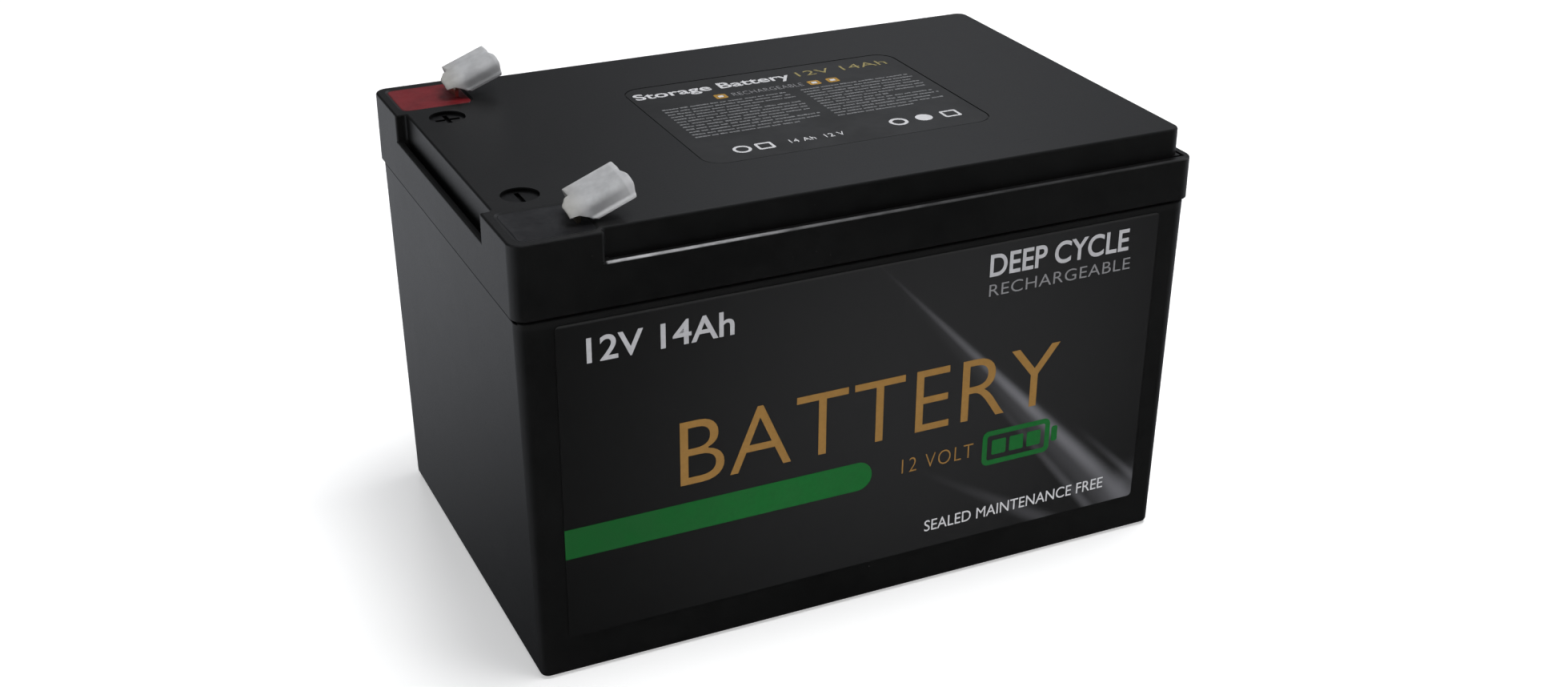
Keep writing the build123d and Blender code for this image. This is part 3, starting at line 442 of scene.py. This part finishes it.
NODE_MATERIAL = {
    "case": "case", "lid": "lid", "lid_adhesive": "adhesive",
    "positive_terminal": "terminal", "negative_terminal": "terminal",
    "positive_resin": "red_epoxy", "negative_resin": "black_epoxy",
    "positive_terminal_cap": "cap", "negative_terminal_cap": "cap",
    "front_label": "front_film", "top_label": "top_film",
    **{f"cell_{i}": "sleeve" for i in range(1, 9)},
    "lower_cell_holder": "holder", "upper_cell_holder": "holder",
    "pack_negative_strip": "nickel", "pack_positive_strip": "nickel", "upper_link_strip": "nickel",
    "lower_link_strip_1": "nickel", "lower_link_strip_2": "nickel",
    "lower_insulating_sheet": "sheet", "upper_insulating_sheet": "sheet",
    "board_tape": "tape", "protection_board": "board", "power_switches": "chip",
    "shunt_resistors": "chip", "control_chip": "chip", "balance_header": "header",
    "balance_plug": "header", "balance_leads": "white_lead", "positive_lead": "red_lead",
    "negative_lead": "black_lead", "pack_negative_lead": "black_lead",
    "bottom_foam_pad": "foam", "front_foam_pad": "foam", "rear_foam_pad": "foam", "top_foam_pad": "foam",
}
for node, obj in NODES.items():
    obj.data.materials.clear()
    obj.data.materials.append(M[NODE_MATERIAL[node]])


# ------------------------------------------------------------------ mesh tools
def new_piece(name, mesh, material, smooth=False):
    obj = bpy.data.objects.new(name, mesh)
    scene.collection.objects.link(obj)
    mesh.materials.clear()
    mesh.materials.append(M[material])
    for poly in mesh.polygons:
        poly.use_smooth = smooth
    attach(obj, BODY)
    return obj


# the label plane leans outward towards the top, as the case does
CASE_FOOT_Y, CASE_LEAN, CASE_RIM_Z, FILM = 47.3, 1.2, 80.4, 0.15
LEAN = math.atan2(CASE_LEAN, CASE_RIM_Z)


def on_front(x, z, lift=0.0):
    """Point in metres on the front label's face, for print coordinates in mm."""
    y = -(CASE_FOOT_Y + CASE_LEAN * z / CASE_RIM_Z) - FILM - lift
    return Vector((x * MM, y * MM, z * MM))


TOP_FILM_Z = 96.45


def on_top(x, y, lift=0.0):
    return Vector((x * MM, y * MM, (TOP_FILM_Z + lift) * MM))


def printed(name, faces, place, material, thick=0.035, sink=0.02):
    """Thin closed mesh of flat print: faces are lists of 2-D outlines in mm, placed on a surface."""
    bm = bmesh.new()
    for outline in faces:
        low = [bm.verts.new(place(a, b, -sink)) for a, b in outline]
        top = [bm.verts.new(place(a, b, thick)) for a, b in outline]
        bm.faces.new(top)
        bm.faces.new(list(reversed(low)))
        n = len(outline)
        for i in range(n):
            j = (i + 1) % n
            bm.faces.new((low[i], low[j], top[j], top[i]))
    bmesh.ops.recalc_face_normals(bm, faces=bm.faces)
    mesh = bpy.data.meshes.new(name)
    bm.to_mesh(mesh)
    bm.free()
    return new_piece(name, mesh, material)


def lettering(name, text, box, place, material, weight=0.0, shear=0.0, thick=0.035, spacing=1.0):
    """Generic wording in the plain built-in typeface, fitted to box = (x1, base, x2, cap height)."""
    curve = bpy.data.curves.new(name, "FONT")
    curve.body = text
    curve.size = 1.0
    curve.resolution_u = 6
    curve.space_character = spacing
    curve.offset = weight
    curve.shear = shear
    curve.extrude = 0.5
    holder = bpy.data.objects.new(name + "_text", curve)
    scene.collection.objects.link(holder)
    dg = bpy.context.evaluated_depsgraph_get()
    mesh = bpy.data.meshes.new_from_object(holder.evaluated_get(dg))
    bpy.data.objects.remove(holder)
    co = np.array([v.co for v in mesh.vertices])
    x1, base, x2, height = box
    capital = bpy.data.curves.new("capital", "FONT")
    capital.body = "H"
    probe = bpy.data.objects.new("capital", capital)
    scene.collection.objects.link(probe)
    dg = bpy.context.evaluated_depsgraph_get()
    tall = bpy.data.meshes.new_from_object(probe.evaluated_get(dg))
    cap_height = max(v.co.y for v in tall.vertices)
    bpy.data.objects.remove(probe)
    bpy.data.meshes.remove(tall)
    sx = (x2 - x1) / (co[:, 0].max() - co[:, 0].min())
    sy = height / cap_height
    left = co[:, 0].min()
    for v, (x, y, z) in zip(mesh.vertices, co):
        v.co = place(x1 + (x - left) * sx, base + y * sy, thick if z > 0 else -0.02)
    bm = bmesh.new()
    bm.from_mesh(mesh)
    bmesh.ops.remove_doubles(bm, verts=bm.verts, dist=1e-7)
    bmesh.ops.recalc_face_normals(bm, faces=bm.faces)
    bm.to_mesh(mesh)
    bm.free()
    return new_piece(name, mesh, material)


def bar(x1, y1, x2, y2):
    return [(x1, y1), (x2, y1), (x2, y2), (x1, y2)]


def round_bar(x1, y1, x2, y2, left=False, right=True, steps=20):
    """A bar with a half-round end or two."""
    r, mid = (y2 - y1) / 2, (y1 + y2) / 2
    points = []
    if right:
        points += [(x2 - r + r * math.cos(t), mid + r * math.sin(t))
                   for t in np.linspace(-math.pi / 2, math.pi / 2, steps)]
    else:
        points += [(x2, y1), (x2, y2)]
    if left:
        points += [(x1 + r - r * math.cos(t), mid - r * math.sin(t))
                   for t in np.linspace(-math.pi / 2, math.pi / 2, steps)]
    else:
        points += [(x1, y2), (x1, y1)]
    return points


def ring_quads(outer, inner):
    """Quads between two closed outlines of equal count."""
    n = len(outer)
    return [[outer[i], outer[(i + 1) % n], inner[(i + 1) % n], inner[i]] for i in range(n)]


def rounded_outline(x1, y1, x2, y2, r, steps=6):
    points = []
    for cx, cy, start in ((x2 - r, y1 + r, -90), (x2 - r, y2 - r, 0), (x1 + r, y2 - r, 90), (x1 + r, y1 + r, 180)):
        for k in range(steps + 1):
            t = math.radians(start + 90 * k / steps)
            points.append((cx + r * math.cos(t), cy + r * math.sin(t)))
    return points


def circle(cx, cy, r, steps=36):
    return [(cx + r * math.cos(2 * math.pi * k / steps), cy + r * math.sin(2 * math.pi * k / steps)) for k in range(steps)]


def frame_shape(name, outer, inner, place, material):
    """A flat ring between two outlines, as one thin closed mesh."""
    bm = bmesh.new()
    loops = []
    for outline, lift in ((outer, -0.02), (outer, 0.035), (inner, 0.035), (inner, -0.02)):
        loops.append([bm.verts.new(place(a, b, lift)) for a, b in outline])
    n = len(outer)
    for k in range(4):
        a, b = loops[k], loops[(k + 1) % 4]
        for i in range(n):
            j = (i + 1) % n
            bm.faces.new((a[i], a[j], b[j], b[i]))
    bmesh.ops.recalc_face_normals(bm, faces=bm.faces)
    mesh = bpy.data.meshes.new(name)
    bm.to_mesh(mesh)
    bm.free()
    return new_piece(name, mesh, material)


# ------------------------------------------------------------------ front label print
lettering("print_rating", "12V 14Ah", (-61.7, 70.2, -31.1, 5.1), on_front, "white_ink", weight=0.014)
lettering("print_duty", "DEEP CYCLE", (26.5, 71.6, 60.6, 4.8), on_front, "white_ink", weight=0.016)
lettering("print_kind", "RECHARGEABLE", (26.6, 67.0, 61.4, 2.7), on_front, "pale_ink", weight=-0.006, spacing=1.05)
lettering("print_word", "BATTERY", (-43.0, 38.2, 45.3, 14.8), on_front, "gold_ink", weight=-0.008, spacing=1.04)
lettering("print_care", "SEALED MAINTENANCE FREE", (13.8, 12.9, 59.7, 2.7), on_front, "bright_ink", weight=0.0)
printed("print_stripe", [round_bar(-67.8, 27.4, 0.4, 34.2)], on_front, "green_ink")
# plain battery pictogram: outline, nub and three charge bars
frame_shape("print_cell_outline", rounded_outline(27.3, 26.0, 44.3, 34.4, 1.5), rounded_outline(28.5, 27.2, 43.1, 33.2, 0.5), on_front, "green_ink")
printed("print_cell_marks", [rounded_outline(44.8, 28.3, 46.3, 32.1, 0.5, 4),
                             rounded_outline(29.7, 28.4, 33.2, 32.0, 0.3, 3),
                             rounded_outline(34.1, 28.4, 37.6, 32.0, 0.3, 3),
                             rounded_outline(38.5, 28.4, 42.0, 32.0, 0.3, 3)], on_front, "green_ink")
lettering("print_volts", "12 VOLT", (7.6, 29.0, 25.0, 3.5), on_front, "gold_ink", weight=-0.014, spacing=1.15)

# ------------------------------------------------------------------ top label print
rng = random.Random(12)


def greeked(x1, x2, y, height, rng, ragged=0.0):
    """One line of unreadable fine print: short strokes with word gaps."""
    out, x, end = [], x1, x2 - rng.random() * ragged
    while x < end - 0.5:
        word = min(1.4 + rng.random() * 3.6, end - x)
        stop = x + word
        while x < stop - 0.2:
            stroke = 0.5 + rng.random() * 0.5
            tall = height * (1.0 if rng.random() < 0.22 else 0.8)
            out.append(bar(x, y, min(x + stroke, stop), y + tall))
            x += stroke + 0.09
        x = stop + 0.42
    return out


lettering("print_top_title", "Storage Battery", (-25.0, 17.6, 12.4, 3.5), on_top, "bright_ink", weight=0.018)
lettering("print_top_rating", "12V 14Ah", (14.4, 17.9, 37.0, 3.0), on_top, "straw_ink", weight=-0.004)
lettering("print_top_heading", "RECHARGEABLE", (-4.4, 11.7, 12.8, 2.1), on_top, "pale_ink", weight=-0.008, spacing=1.05)
for k, cx in enumerate((-7.2, 15.6, 20.2)):
    frame_shape(f"print_top_sign_{k + 1}", rounded_outline(cx - 1.4, 11.3, cx + 1.4, 14.0, 0.5, 4),
                rounded_outline(cx - 0.72, 11.98, cx + 0.72, 13.32, 0.2, 4), on_top, "amber_ink")
printed("print_top_sign_middles", [rounded_outline(cx - 0.62, 12.08, cx + 0.62, 13.22, 0.15, 3) for cx in (-7.2, 15.6, 20.2)],
        on_top, "bright_ink")
lines = []
for k in range(12):
    lines += greeked(-22.5, 8.0, 8.9 - k * 1.68, 0.62, rng, 12 if k in (3, 8, 11) else 0.8)
for k in range(12):
    lines += greeked(10.6, 38.2, 9.0 - k * 1.68, 0.62, rng, 11 if k in (2, 6, 9, 11) else 0.8)
printed("print_top_fine", lines, on_top, "grey_ink")
# a row of plain shapes and the rating near the front edge
frame_shape("print_top_ring", circle(-16.4, -19.6, 2.0), circle(-16.4, -19.6, 1.35), on_top, "bright_ink")
frame_shape("print_top_square", rounded_outline(-13.2, -21.4, -9.4, -17.8, 0.5), rounded_outline(-12.6, -20.8, -10.0, -18.4, 0.25), on_top, "bright_ink")
lettering("print_top_small", "14 Ah  12 V", (-5.6, -20.4, 7.0, 1.9), on_top, "bright_ink", weight=0.004, spacing=1.1)
frame_shape("print_top_ring_2", circle(20.6, -18.2, 2.1), circle(20.6, -18.2, 1.35), on_top, "bright_ink")
printed("print_top_disc", [circle(26.8, -18.0, 1.9)], on_top, "bright_ink")
frame_shape("print_top_square_2", rounded_outline(31.2, -20.0, 35.2, -16.2, 0.5), rounded_outline(31.8, -19.4, 34.6, -16.8, 0.25), on_top, "bright_ink")


# ------------------------------------------------------------------ potting resin
def dense_outline(x, y, hx, hy, r, corner=7, side=26):
    """Rounded rectangle with a fixed number of points, evenly spread along each side."""
    r = max(r, 0.02)
    points = []
    for sx, sy, start in ((1, -1, -90), (1, 1, 0), (-1, 1, 90), (-1, -1, 180)):
        for k in range(corner + 1):
            t = math.radians(start + 90 * k / corner)
            points.append((x + sx * (hx - r) + r * math.cos(t), y + sy * (hy - r) + r * math.sin(t)))
        # the straight run to the next corner
        nx, ny = {(1, -1): (1, 1), (1, 1): (-1, 1), (-1, 1): (-1, -1), (-1, -1): (1, -1)}[(sx, sy)]
        t = math.radians(start + 90)
        x1, y1 = points[-1]
        x2, y2 = x + nx * (hx - r) + r * math.cos(t), y + ny * (hy - r) + r * math.sin(t)
        points += [(x1 + (x2 - x1) * k / side, y1 + (y2 - y1) * k / side) for k in range(1, side)]
    return points


def build_resin(name, y0, node, material, seed):
    """Resin poured level with the mouth of its well: it wets the bevel and climbs the blade's neck."""
    x0, hx, hy = -65.4, 7.4, 6.9
    wobble = random.Random(seed)
    phases = [(wobble.random() * 6.28, 0.35 + wobble.random() * 0.5, wobble.random() * 6.28, 0.35 + wobble.random() * 0.5) for _ in range(3)]

    def height(x, y, inset):
        z = 96.2 - 0.04 * (1 - math.exp(-max(inset, 0) / 2.0)) + 0.11 * math.exp(-max(inset, 0) / 0.9)
        for pa, fa, pb, fb in phases:
            z += 0.012 * math.sin(fa * x + pa) * math.sin(fb * y + pb)
        dx, dy = max(abs(x + 60.0) - 0.4, 0), max(abs(y - y0) - 3.18, 0)
        return z + 0.30 * math.exp(-math.hypot(dx, dy) / 0.42)

    bm = bmesh.new()
    rings = []

    def add_ring(inset, z=None):
        out = dense_outline(x0, y0, hx - inset, hy - inset, 1.2 - inset)
        rings.append([bm.verts.new(Vector((a * MM, b * MM, (height(a, b, inset) if z is None else z) * MM))) for a, b in out])

    add_ring(0.03, 89.52)
    add_ring(0.03, 96.12)
    for inset, rise in ((-0.30, 0.075), (-0.27, 0.105), (-0.14, 0.115)):
        out = dense_outline(x0, y0, hx - inset, hy - inset, 1.2 - inset)
        # the feathered lip lies on the bevel
        rings.append([bm.verts.new(Vector((a * MM, b * MM, (96.2 + rise) * MM))) for a, b in out])
    for inset in (0.0, 0.12, 0.28, 0.5, 0.8, 1.2, 1.7, 2.3, 3.0, 3.8, 4.6, 5.4, 6.1):
        add_ring(inset)
    n = len(rings[0])
    for a, b in zip(rings, rings[1:]):
        for i in range(n):
            j = (i + 1) % n
            bm.faces.new((a[i], a[j], b[j], b[i]))
    bm.faces.new(list(reversed(rings[0])))
    bm.faces.new(rings[-1])
    bmesh.ops.recalc_face_normals(bm, faces=bm.faces)
    mesh = bpy.data.meshes.new(name)
    bm.to_mesh(mesh)
    bm.free()
    obj = new_piece(name, mesh, material, smooth=True)
    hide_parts(node)
    return obj


build_resin("positive_resin_pour", 39.5, "positive_resin", "red_epoxy", 3)
build_resin("negative_resin_pour", -39.5, "negative_resin", "black_epoxy", 5)


# ------------------------------------------------------------------ terminal caps
def rounded_path(corners, step=0.16):
    """Closed section outline: (a, b, radius) corners to dense (a, b) points with outward normals."""
    pts = []
    n = len(corners)
    for i in range(n):
        ax, ay, _ = corners[i - 1]
        bx, by, r = corners[i]
        cx, cy, _ = corners[(i + 1) % n]
        p, a, c = np.array((bx, by)), np.array((ax, ay)), np.array((cx, cy))
        u, v = (a - p) / np.linalg.norm(a - p), (c - p) / np.linalg.norm(c - p)
        half = math.acos(max(-1, min(1, float(u @ v)))) / 2
        cut = r / math.tan(half)
        start, end = p + u * cut, p + v * cut
        centre = p + (u + v) / np.linalg.norm(u + v) * (r / math.sin(half))
        sweep = math.pi - 2 * half
        k = max(3, int(sweep * r / step))
        a0 = math.atan2(*(start - centre)[::-1])
        a1 = math.atan2(*(end - centre)[::-1])
        d = (a1 - a0 + math.pi) % (2 * math.pi) - math.pi
        pts.extend([tuple(centre + r * np.array((math.cos(a0 + d * t), math.sin(a0 + d * t)))) for t in np.linspace(0, 1, k)])
    # fill the straight runs
    dense = []
    for (x1, y1), (x2, y2) in zip(pts, pts[1:] + pts[:1]):
        length = math.hypot(x2 - x1, y2 - y1)
        if length < 1e-6:
            continue
        m = max(1, int(length / (step * 1.6)))
        dense += [(x1 + (x2 - x1) * t / m, y1 + (y2 - y1) * t / m) for t in range(m)]
    out = []
    n = len(dense)
    for i in range(n):
        x1, y1 = dense[i - 1]
        x2, y2 = dense[(i + 1) % n]
        tx, ty = x2 - x1, y2 - y1
        length = math.hypot(tx, ty)
        out.append((dense[i][0], dense[i][1], ty / length, -tx / length))
    return out


def smooth(t):
    t = max(0.0, min(1.0, t))
    return t * t * (3 - 2 * t)


def build_cap(name, seat, tilt, stretch, body, node):
    """Slip-on cap in the tilted frame: a arched sleeve with a rolled front hem and a cut-back mouth."""
    # outline seen from the far end, counter-clockwise in (y, w)
    corners = [
        (4.5, -2.3, 0.6), (4.5, 2.42, 0.4), (0.4, 2.42, 3.0), (-4.05, 1.45, 2.0),
        (-4.42, -1.35, 0.7), (-4.72, -1.75, 0.25), (-4.66, -2.38, 0.3),
    ]
    section = rounded_path(corners)
    wall = 0.72

    def near(y, w):
        if w > 0.35:
            if y > 0.75:
                return 0.12
            if y > 0.45:
                return 0.12 - 1.1 * (0.75 - y) / 0.3
            corner = smooth((y + 1.4) / 1.85)
            return -2.1 + 1.12 * corner
        if y > 4.0:
            if w > -0.3:
                return 0.12
            return 0.12 + 2.43 * min(1.0, (-0.3 - w) / 1.9)
        if w > 0.15:
            return -2.1 + 1.7 * (0.35 - w) / 0.2
        if w > -0.3:
            return -0.4 + 0.5 * (0.15 - w) / 0.45
        return 0.1 + 2.45 * min(1.0, (-0.3 - w) / 1.95)

    def far(y, w):
        # the band along the rear ends square, then a small step, then the rounded end
        if y > 1.0 and w > 0:
            return 10.31 + stretch
        t = smooth((1.0 - y) / 3.4)
        rim = 9.85 + 1.05 * t
        drop = smooth((0.6 - w) / 2.9)
        value = rim + (10.25 - rim) * drop
        if y > 0.7 and w > 0:
            value = 9.85 + (10.31 - 9.85) * (y - 0.7) / 0.3
        return value + stretch

    origin = Vector(seat) * MM
    along = Vector((math.cos(math.radians(tilt)), 0, math.sin(math.radians(tilt))))
    rise = Vector((-along.z, 0, along.x))

    def at(u, y, w):
        return origin + along * (u * MM) + Vector((0, y * MM, 0)) + rise * (w * MM)

    bm = bmesh.new()
    rows = []
    ns = len(section)
    # inner surface from the closed end out, round the mouth, then the outer surface and the end
    inner_stop = 0.95
    steps = [0.0, 0.04, 0.12, 0.25, 0.4, 0.55, 0.7, 0.82, 0.92, 0.97, 1.0]

    def ring(fn):
        rows.append([bm.verts.new(fn(*s)) for s in section])

    def inner(t):
        def fn(y, w, ny, nw):
            a, b = near(y, w), far(y, w) - inner_stop
            return at(a + (b - a) * t, y - ny * wall, w - nw * wall)
        return fn

    def outer(t):
        def fn(y, w, ny, nw):
            a, b = near(y, w), far(y, w) - 0.35
            return at(a + (b - a) * t, y, w)
        return fn

    for t in reversed(steps):
        ring(inner(t))
    for k in range(1, 4):
        turn = math.pi * k / 4

        def lip(y, w, ny, nw, turn=turn):
            mid = wall / 2
            return at(near(y, w) - 0.16 * math.sin(turn), y - ny * (mid + mid * math.cos(turn)), w - nw * (mid + mid * math.cos(turn)))
        ring(lip)
    for t in steps:
        ring(outer(t))
    for k in range(1, 5):
        turn = math.pi / 2 * k / 4

        def crown(y, w, ny, nw, turn=turn):
            r = 0.35
            return at(far(y, w) - r + r * math.sin(turn), y - ny * r * (1 - math.cos(turn)), w - nw * r * (1 - math.cos(turn)))
        ring(crown)
    for a, b in zip(rows, rows[1:]):
        for i in range(ns):
            j = (i + 1) % ns
            bm.faces.new((a[i], a[j], b[j], b[i]))
    # both end walls shrink to a centre, slightly domed
    for row, out in ((rows[0], False), (rows[-1], True)):
        centre = sum((v.co for v in row), Vector()) / ns
        previous = row
        for shrink in (0.75, 0.45, 0.18):
            loop = [bm.verts.new(centre + (v.co - centre) * shrink + along * ((1 - shrink) * (0.00012 if out else 0.0))) for v in row]
            for i in range(ns):
                j = (i + 1) % ns
                bm.faces.new((previous[i], previous[j], loop[j], loop[i]))
            previous = loop
        bm.faces.new(previous)
    bmesh.ops.recalc_face_normals(bm, faces=bm.faces)
    mesh = bpy.data.meshes.new(name)
    bm.to_mesh(mesh)
    bm.free()
    obj = bpy.data.objects.new(name, mesh)
    scene.collection.objects.link(obj)
    mesh.materials.append(M["cap"])
    for poly in mesh.polygons:
        poly.use_smooth = True
    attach(obj, body)
    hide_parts(node)
    return obj


build_cap("positive_cap_shell", (-60.1, 39.5, 99.1), 21.3, -0.1, "positive_cap", "positive_terminal_cap")
build_cap("negative_cap_shell", (-59.75, -39.5, 98.4), 22.0, 0.65, "negative_cap", "negative_terminal_cap")

# ------------------------------------------------------------------ stage and light
floor_mat = Shader("floor", Roughness=0.9)
floor_mat.link(floor_mat.mix(floor_mat.noise(6, 2, 0.5), grey(0.84), grey(0.87)), "Base Color")
floor_mat.bsdf.inputs["Emission Color"].default_value = (1, 1, 1, 1)
floor_mat.bsdf.inputs["Emission Strength"].default_value = 0.38
bm = bmesh.new()
bmesh.ops.create_grid(bm, x_segments=2, y_segments=2, size=6.0)
mesh = bpy.data.meshes.new("floor")
bm.to_mesh(mesh)
bm.free()
floor = bpy.data.objects.new("floor", mesh)
floor.location = (0, 0, -0.0002)
floor.data.materials.append(floor_mat.mat)
scene.collection.objects.link(floor)
floor.visible_glossy = False


def softbox(name, place, aim, size, power, shine=True, tint=(1, 1, 1)):
    light = bpy.data.lights.new(name, "AREA")
    light.shape = "RECTANGLE"
    light.size, light.size_y = size
    light.energy = power
    light.color = tint
    obj = bpy.data.objects.new(name, light)
    scene.collection.objects.link(obj)
    obj.location = place
    obj.rotation_mode = "QUATERNION"
    obj.rotation_quaternion = (Vector(aim) - Vector(place)).to_track_quat("-Z", "Y")
    obj.visible_glossy = shine
    return obj


softbox("overhead", (0.20, -0.10, 1.25), (0, 0, 0.05), (0.55, 0.45), 11, shine=False)
softbox("front_fill", (-0.45, -1.5, 0.75), (0, 0, 0.05), (1.0, 0.8), 8.8, shine=False)
softbox("back_key", (0.17, 1.21, 0.55), (0, 0, 0.08), (0.30, 0.20), 3.4, shine=False)
softbox("back_glow", (0.17, 1.21, 0.55), (0, 0, 0.08), (0.30, 0.20), 0.30)

# the room: bright behind, dark in front, dimmer again near the floor
world = bpy.data.worlds.new("studio")
scene.world = world
world.use_nodes = True
wt = world.node_tree
wt.nodes.clear()


def ramp(value, low, high, to_low, to_high):
    n = wt.nodes.new("ShaderNodeMapRange")
    n.interpolation_type = "SMOOTHSTEP"
    for key, number in (("From Min", low), ("From Max", high), ("To Min", to_low), ("To Max", to_high)):
        n.inputs[key].default_value = number
    wt.links.new(value, n.inputs["Value"])
    return n.outputs["Result"]


def combine(op, a, b):
    n = wt.nodes.new("ShaderNodeMath")
    n.operation = op
    for value, socket in ((a, n.inputs[0]), (b, n.inputs[1])):
        if isinstance(value, bpy.types.NodeSocket):
            wt.links.new(value, socket)
        else:
            socket.default_value = value
    return n.outputs[0]


out = wt.nodes.new("ShaderNodeOutputWorld")
bright = wt.nodes.new("ShaderNodeBackground")
bright.inputs["Color"].default_value = (1, 1, 1, 1)
bright.inputs["Strength"].default_value = 0.95
room = wt.nodes.new("ShaderNodeBackground")
room.inputs["Color"].default_value = (0.95, 0.98, 1.04, 1)
path = wt.nodes.new("ShaderNodeLightPath")
swap = wt.nodes.new("ShaderNodeMixShader")
where = wt.nodes.new("ShaderNodeTexCoord")
split = wt.nodes.new("ShaderNodeSeparateXYZ")
wt.links.new(where.outputs["Generated"], split.inputs[0])
look_x, look_y, look_z = split.outputs
# a bright table to the left and behind, seen at a glance by the terminal end
table = combine("MULTIPLY", ramp(look_z, -0.56, -0.38, 0.0, 0.49), ramp(look_z, -0.12, 0.06, 1.0, 0.0))
table = combine("MULTIPLY", table, ramp(look_x, -0.05, 0.35, 1.0, 0.35))
# a dim wall above it, a little brighter to the right
wall = combine("MULTIPLY", ramp(look_z, -0.10, 0.10, 0.0, 0.16), combine("MULTIPLY", ramp(look_x, -0.10, 0.28, 0.26, 0.70), ramp(look_x, 0.28, 0.50, 1.0, 0.70)))
# a paler patch of wall, far right, that the front edge of the top catches
patch = combine("MULTIPLY", combine("MULTIPLY", ramp(look_x, 0.28, 0.40, 0.0, 1.0), ramp(look_x, 0.44, 0.56, 1.0, 0.2)), combine("MULTIPLY", ramp(look_z, 0.33, 0.48, 0.0, 1.1), ramp(look_z, 0.55, 0.75, 1.0, 0.0)))
level = combine("MULTIPLY", combine("ADD", combine("ADD", table, wall), patch), ramp(look_y, -0.25, 0.5, 0.05, 1.0))
level = combine("ADD", level, ramp(look_z, 0.6, 1.0, 0.0, 0.35))
# soft screens past both ends and low in front, for the sides turned away from the camera
ends = combine("MULTIPLY", ramp(combine("ABSOLUTE", look_x, 0.0), 0.70, 0.93, 0.0, 0.36), ramp(look_z, -0.75, -0.15, 0.35, 1.0))
level = combine("ADD", level, combine("MULTIPLY", ends, ramp(look_z, 0.10, 0.55, 1.0, 0.4)))
level = combine("ADD", level, combine("MULTIPLY", ramp(look_y, 0.90, 0.97, 0.0, 0.16), ramp(look_z, -0.3, 0.05, 1.0, 0.0)))
level = combine("MAXIMUM", level, 0.012)
wt.links.new(level, room.inputs["Strength"])
wt.links.new(path.outputs["Is Camera Ray"], swap.inputs[0])
wt.links.new(room.outputs[0], swap.inputs[1])
wt.links.new(bright.outputs[0], swap.inputs[2])
wt.links.new(swap.outputs[0], out.inputs[0])
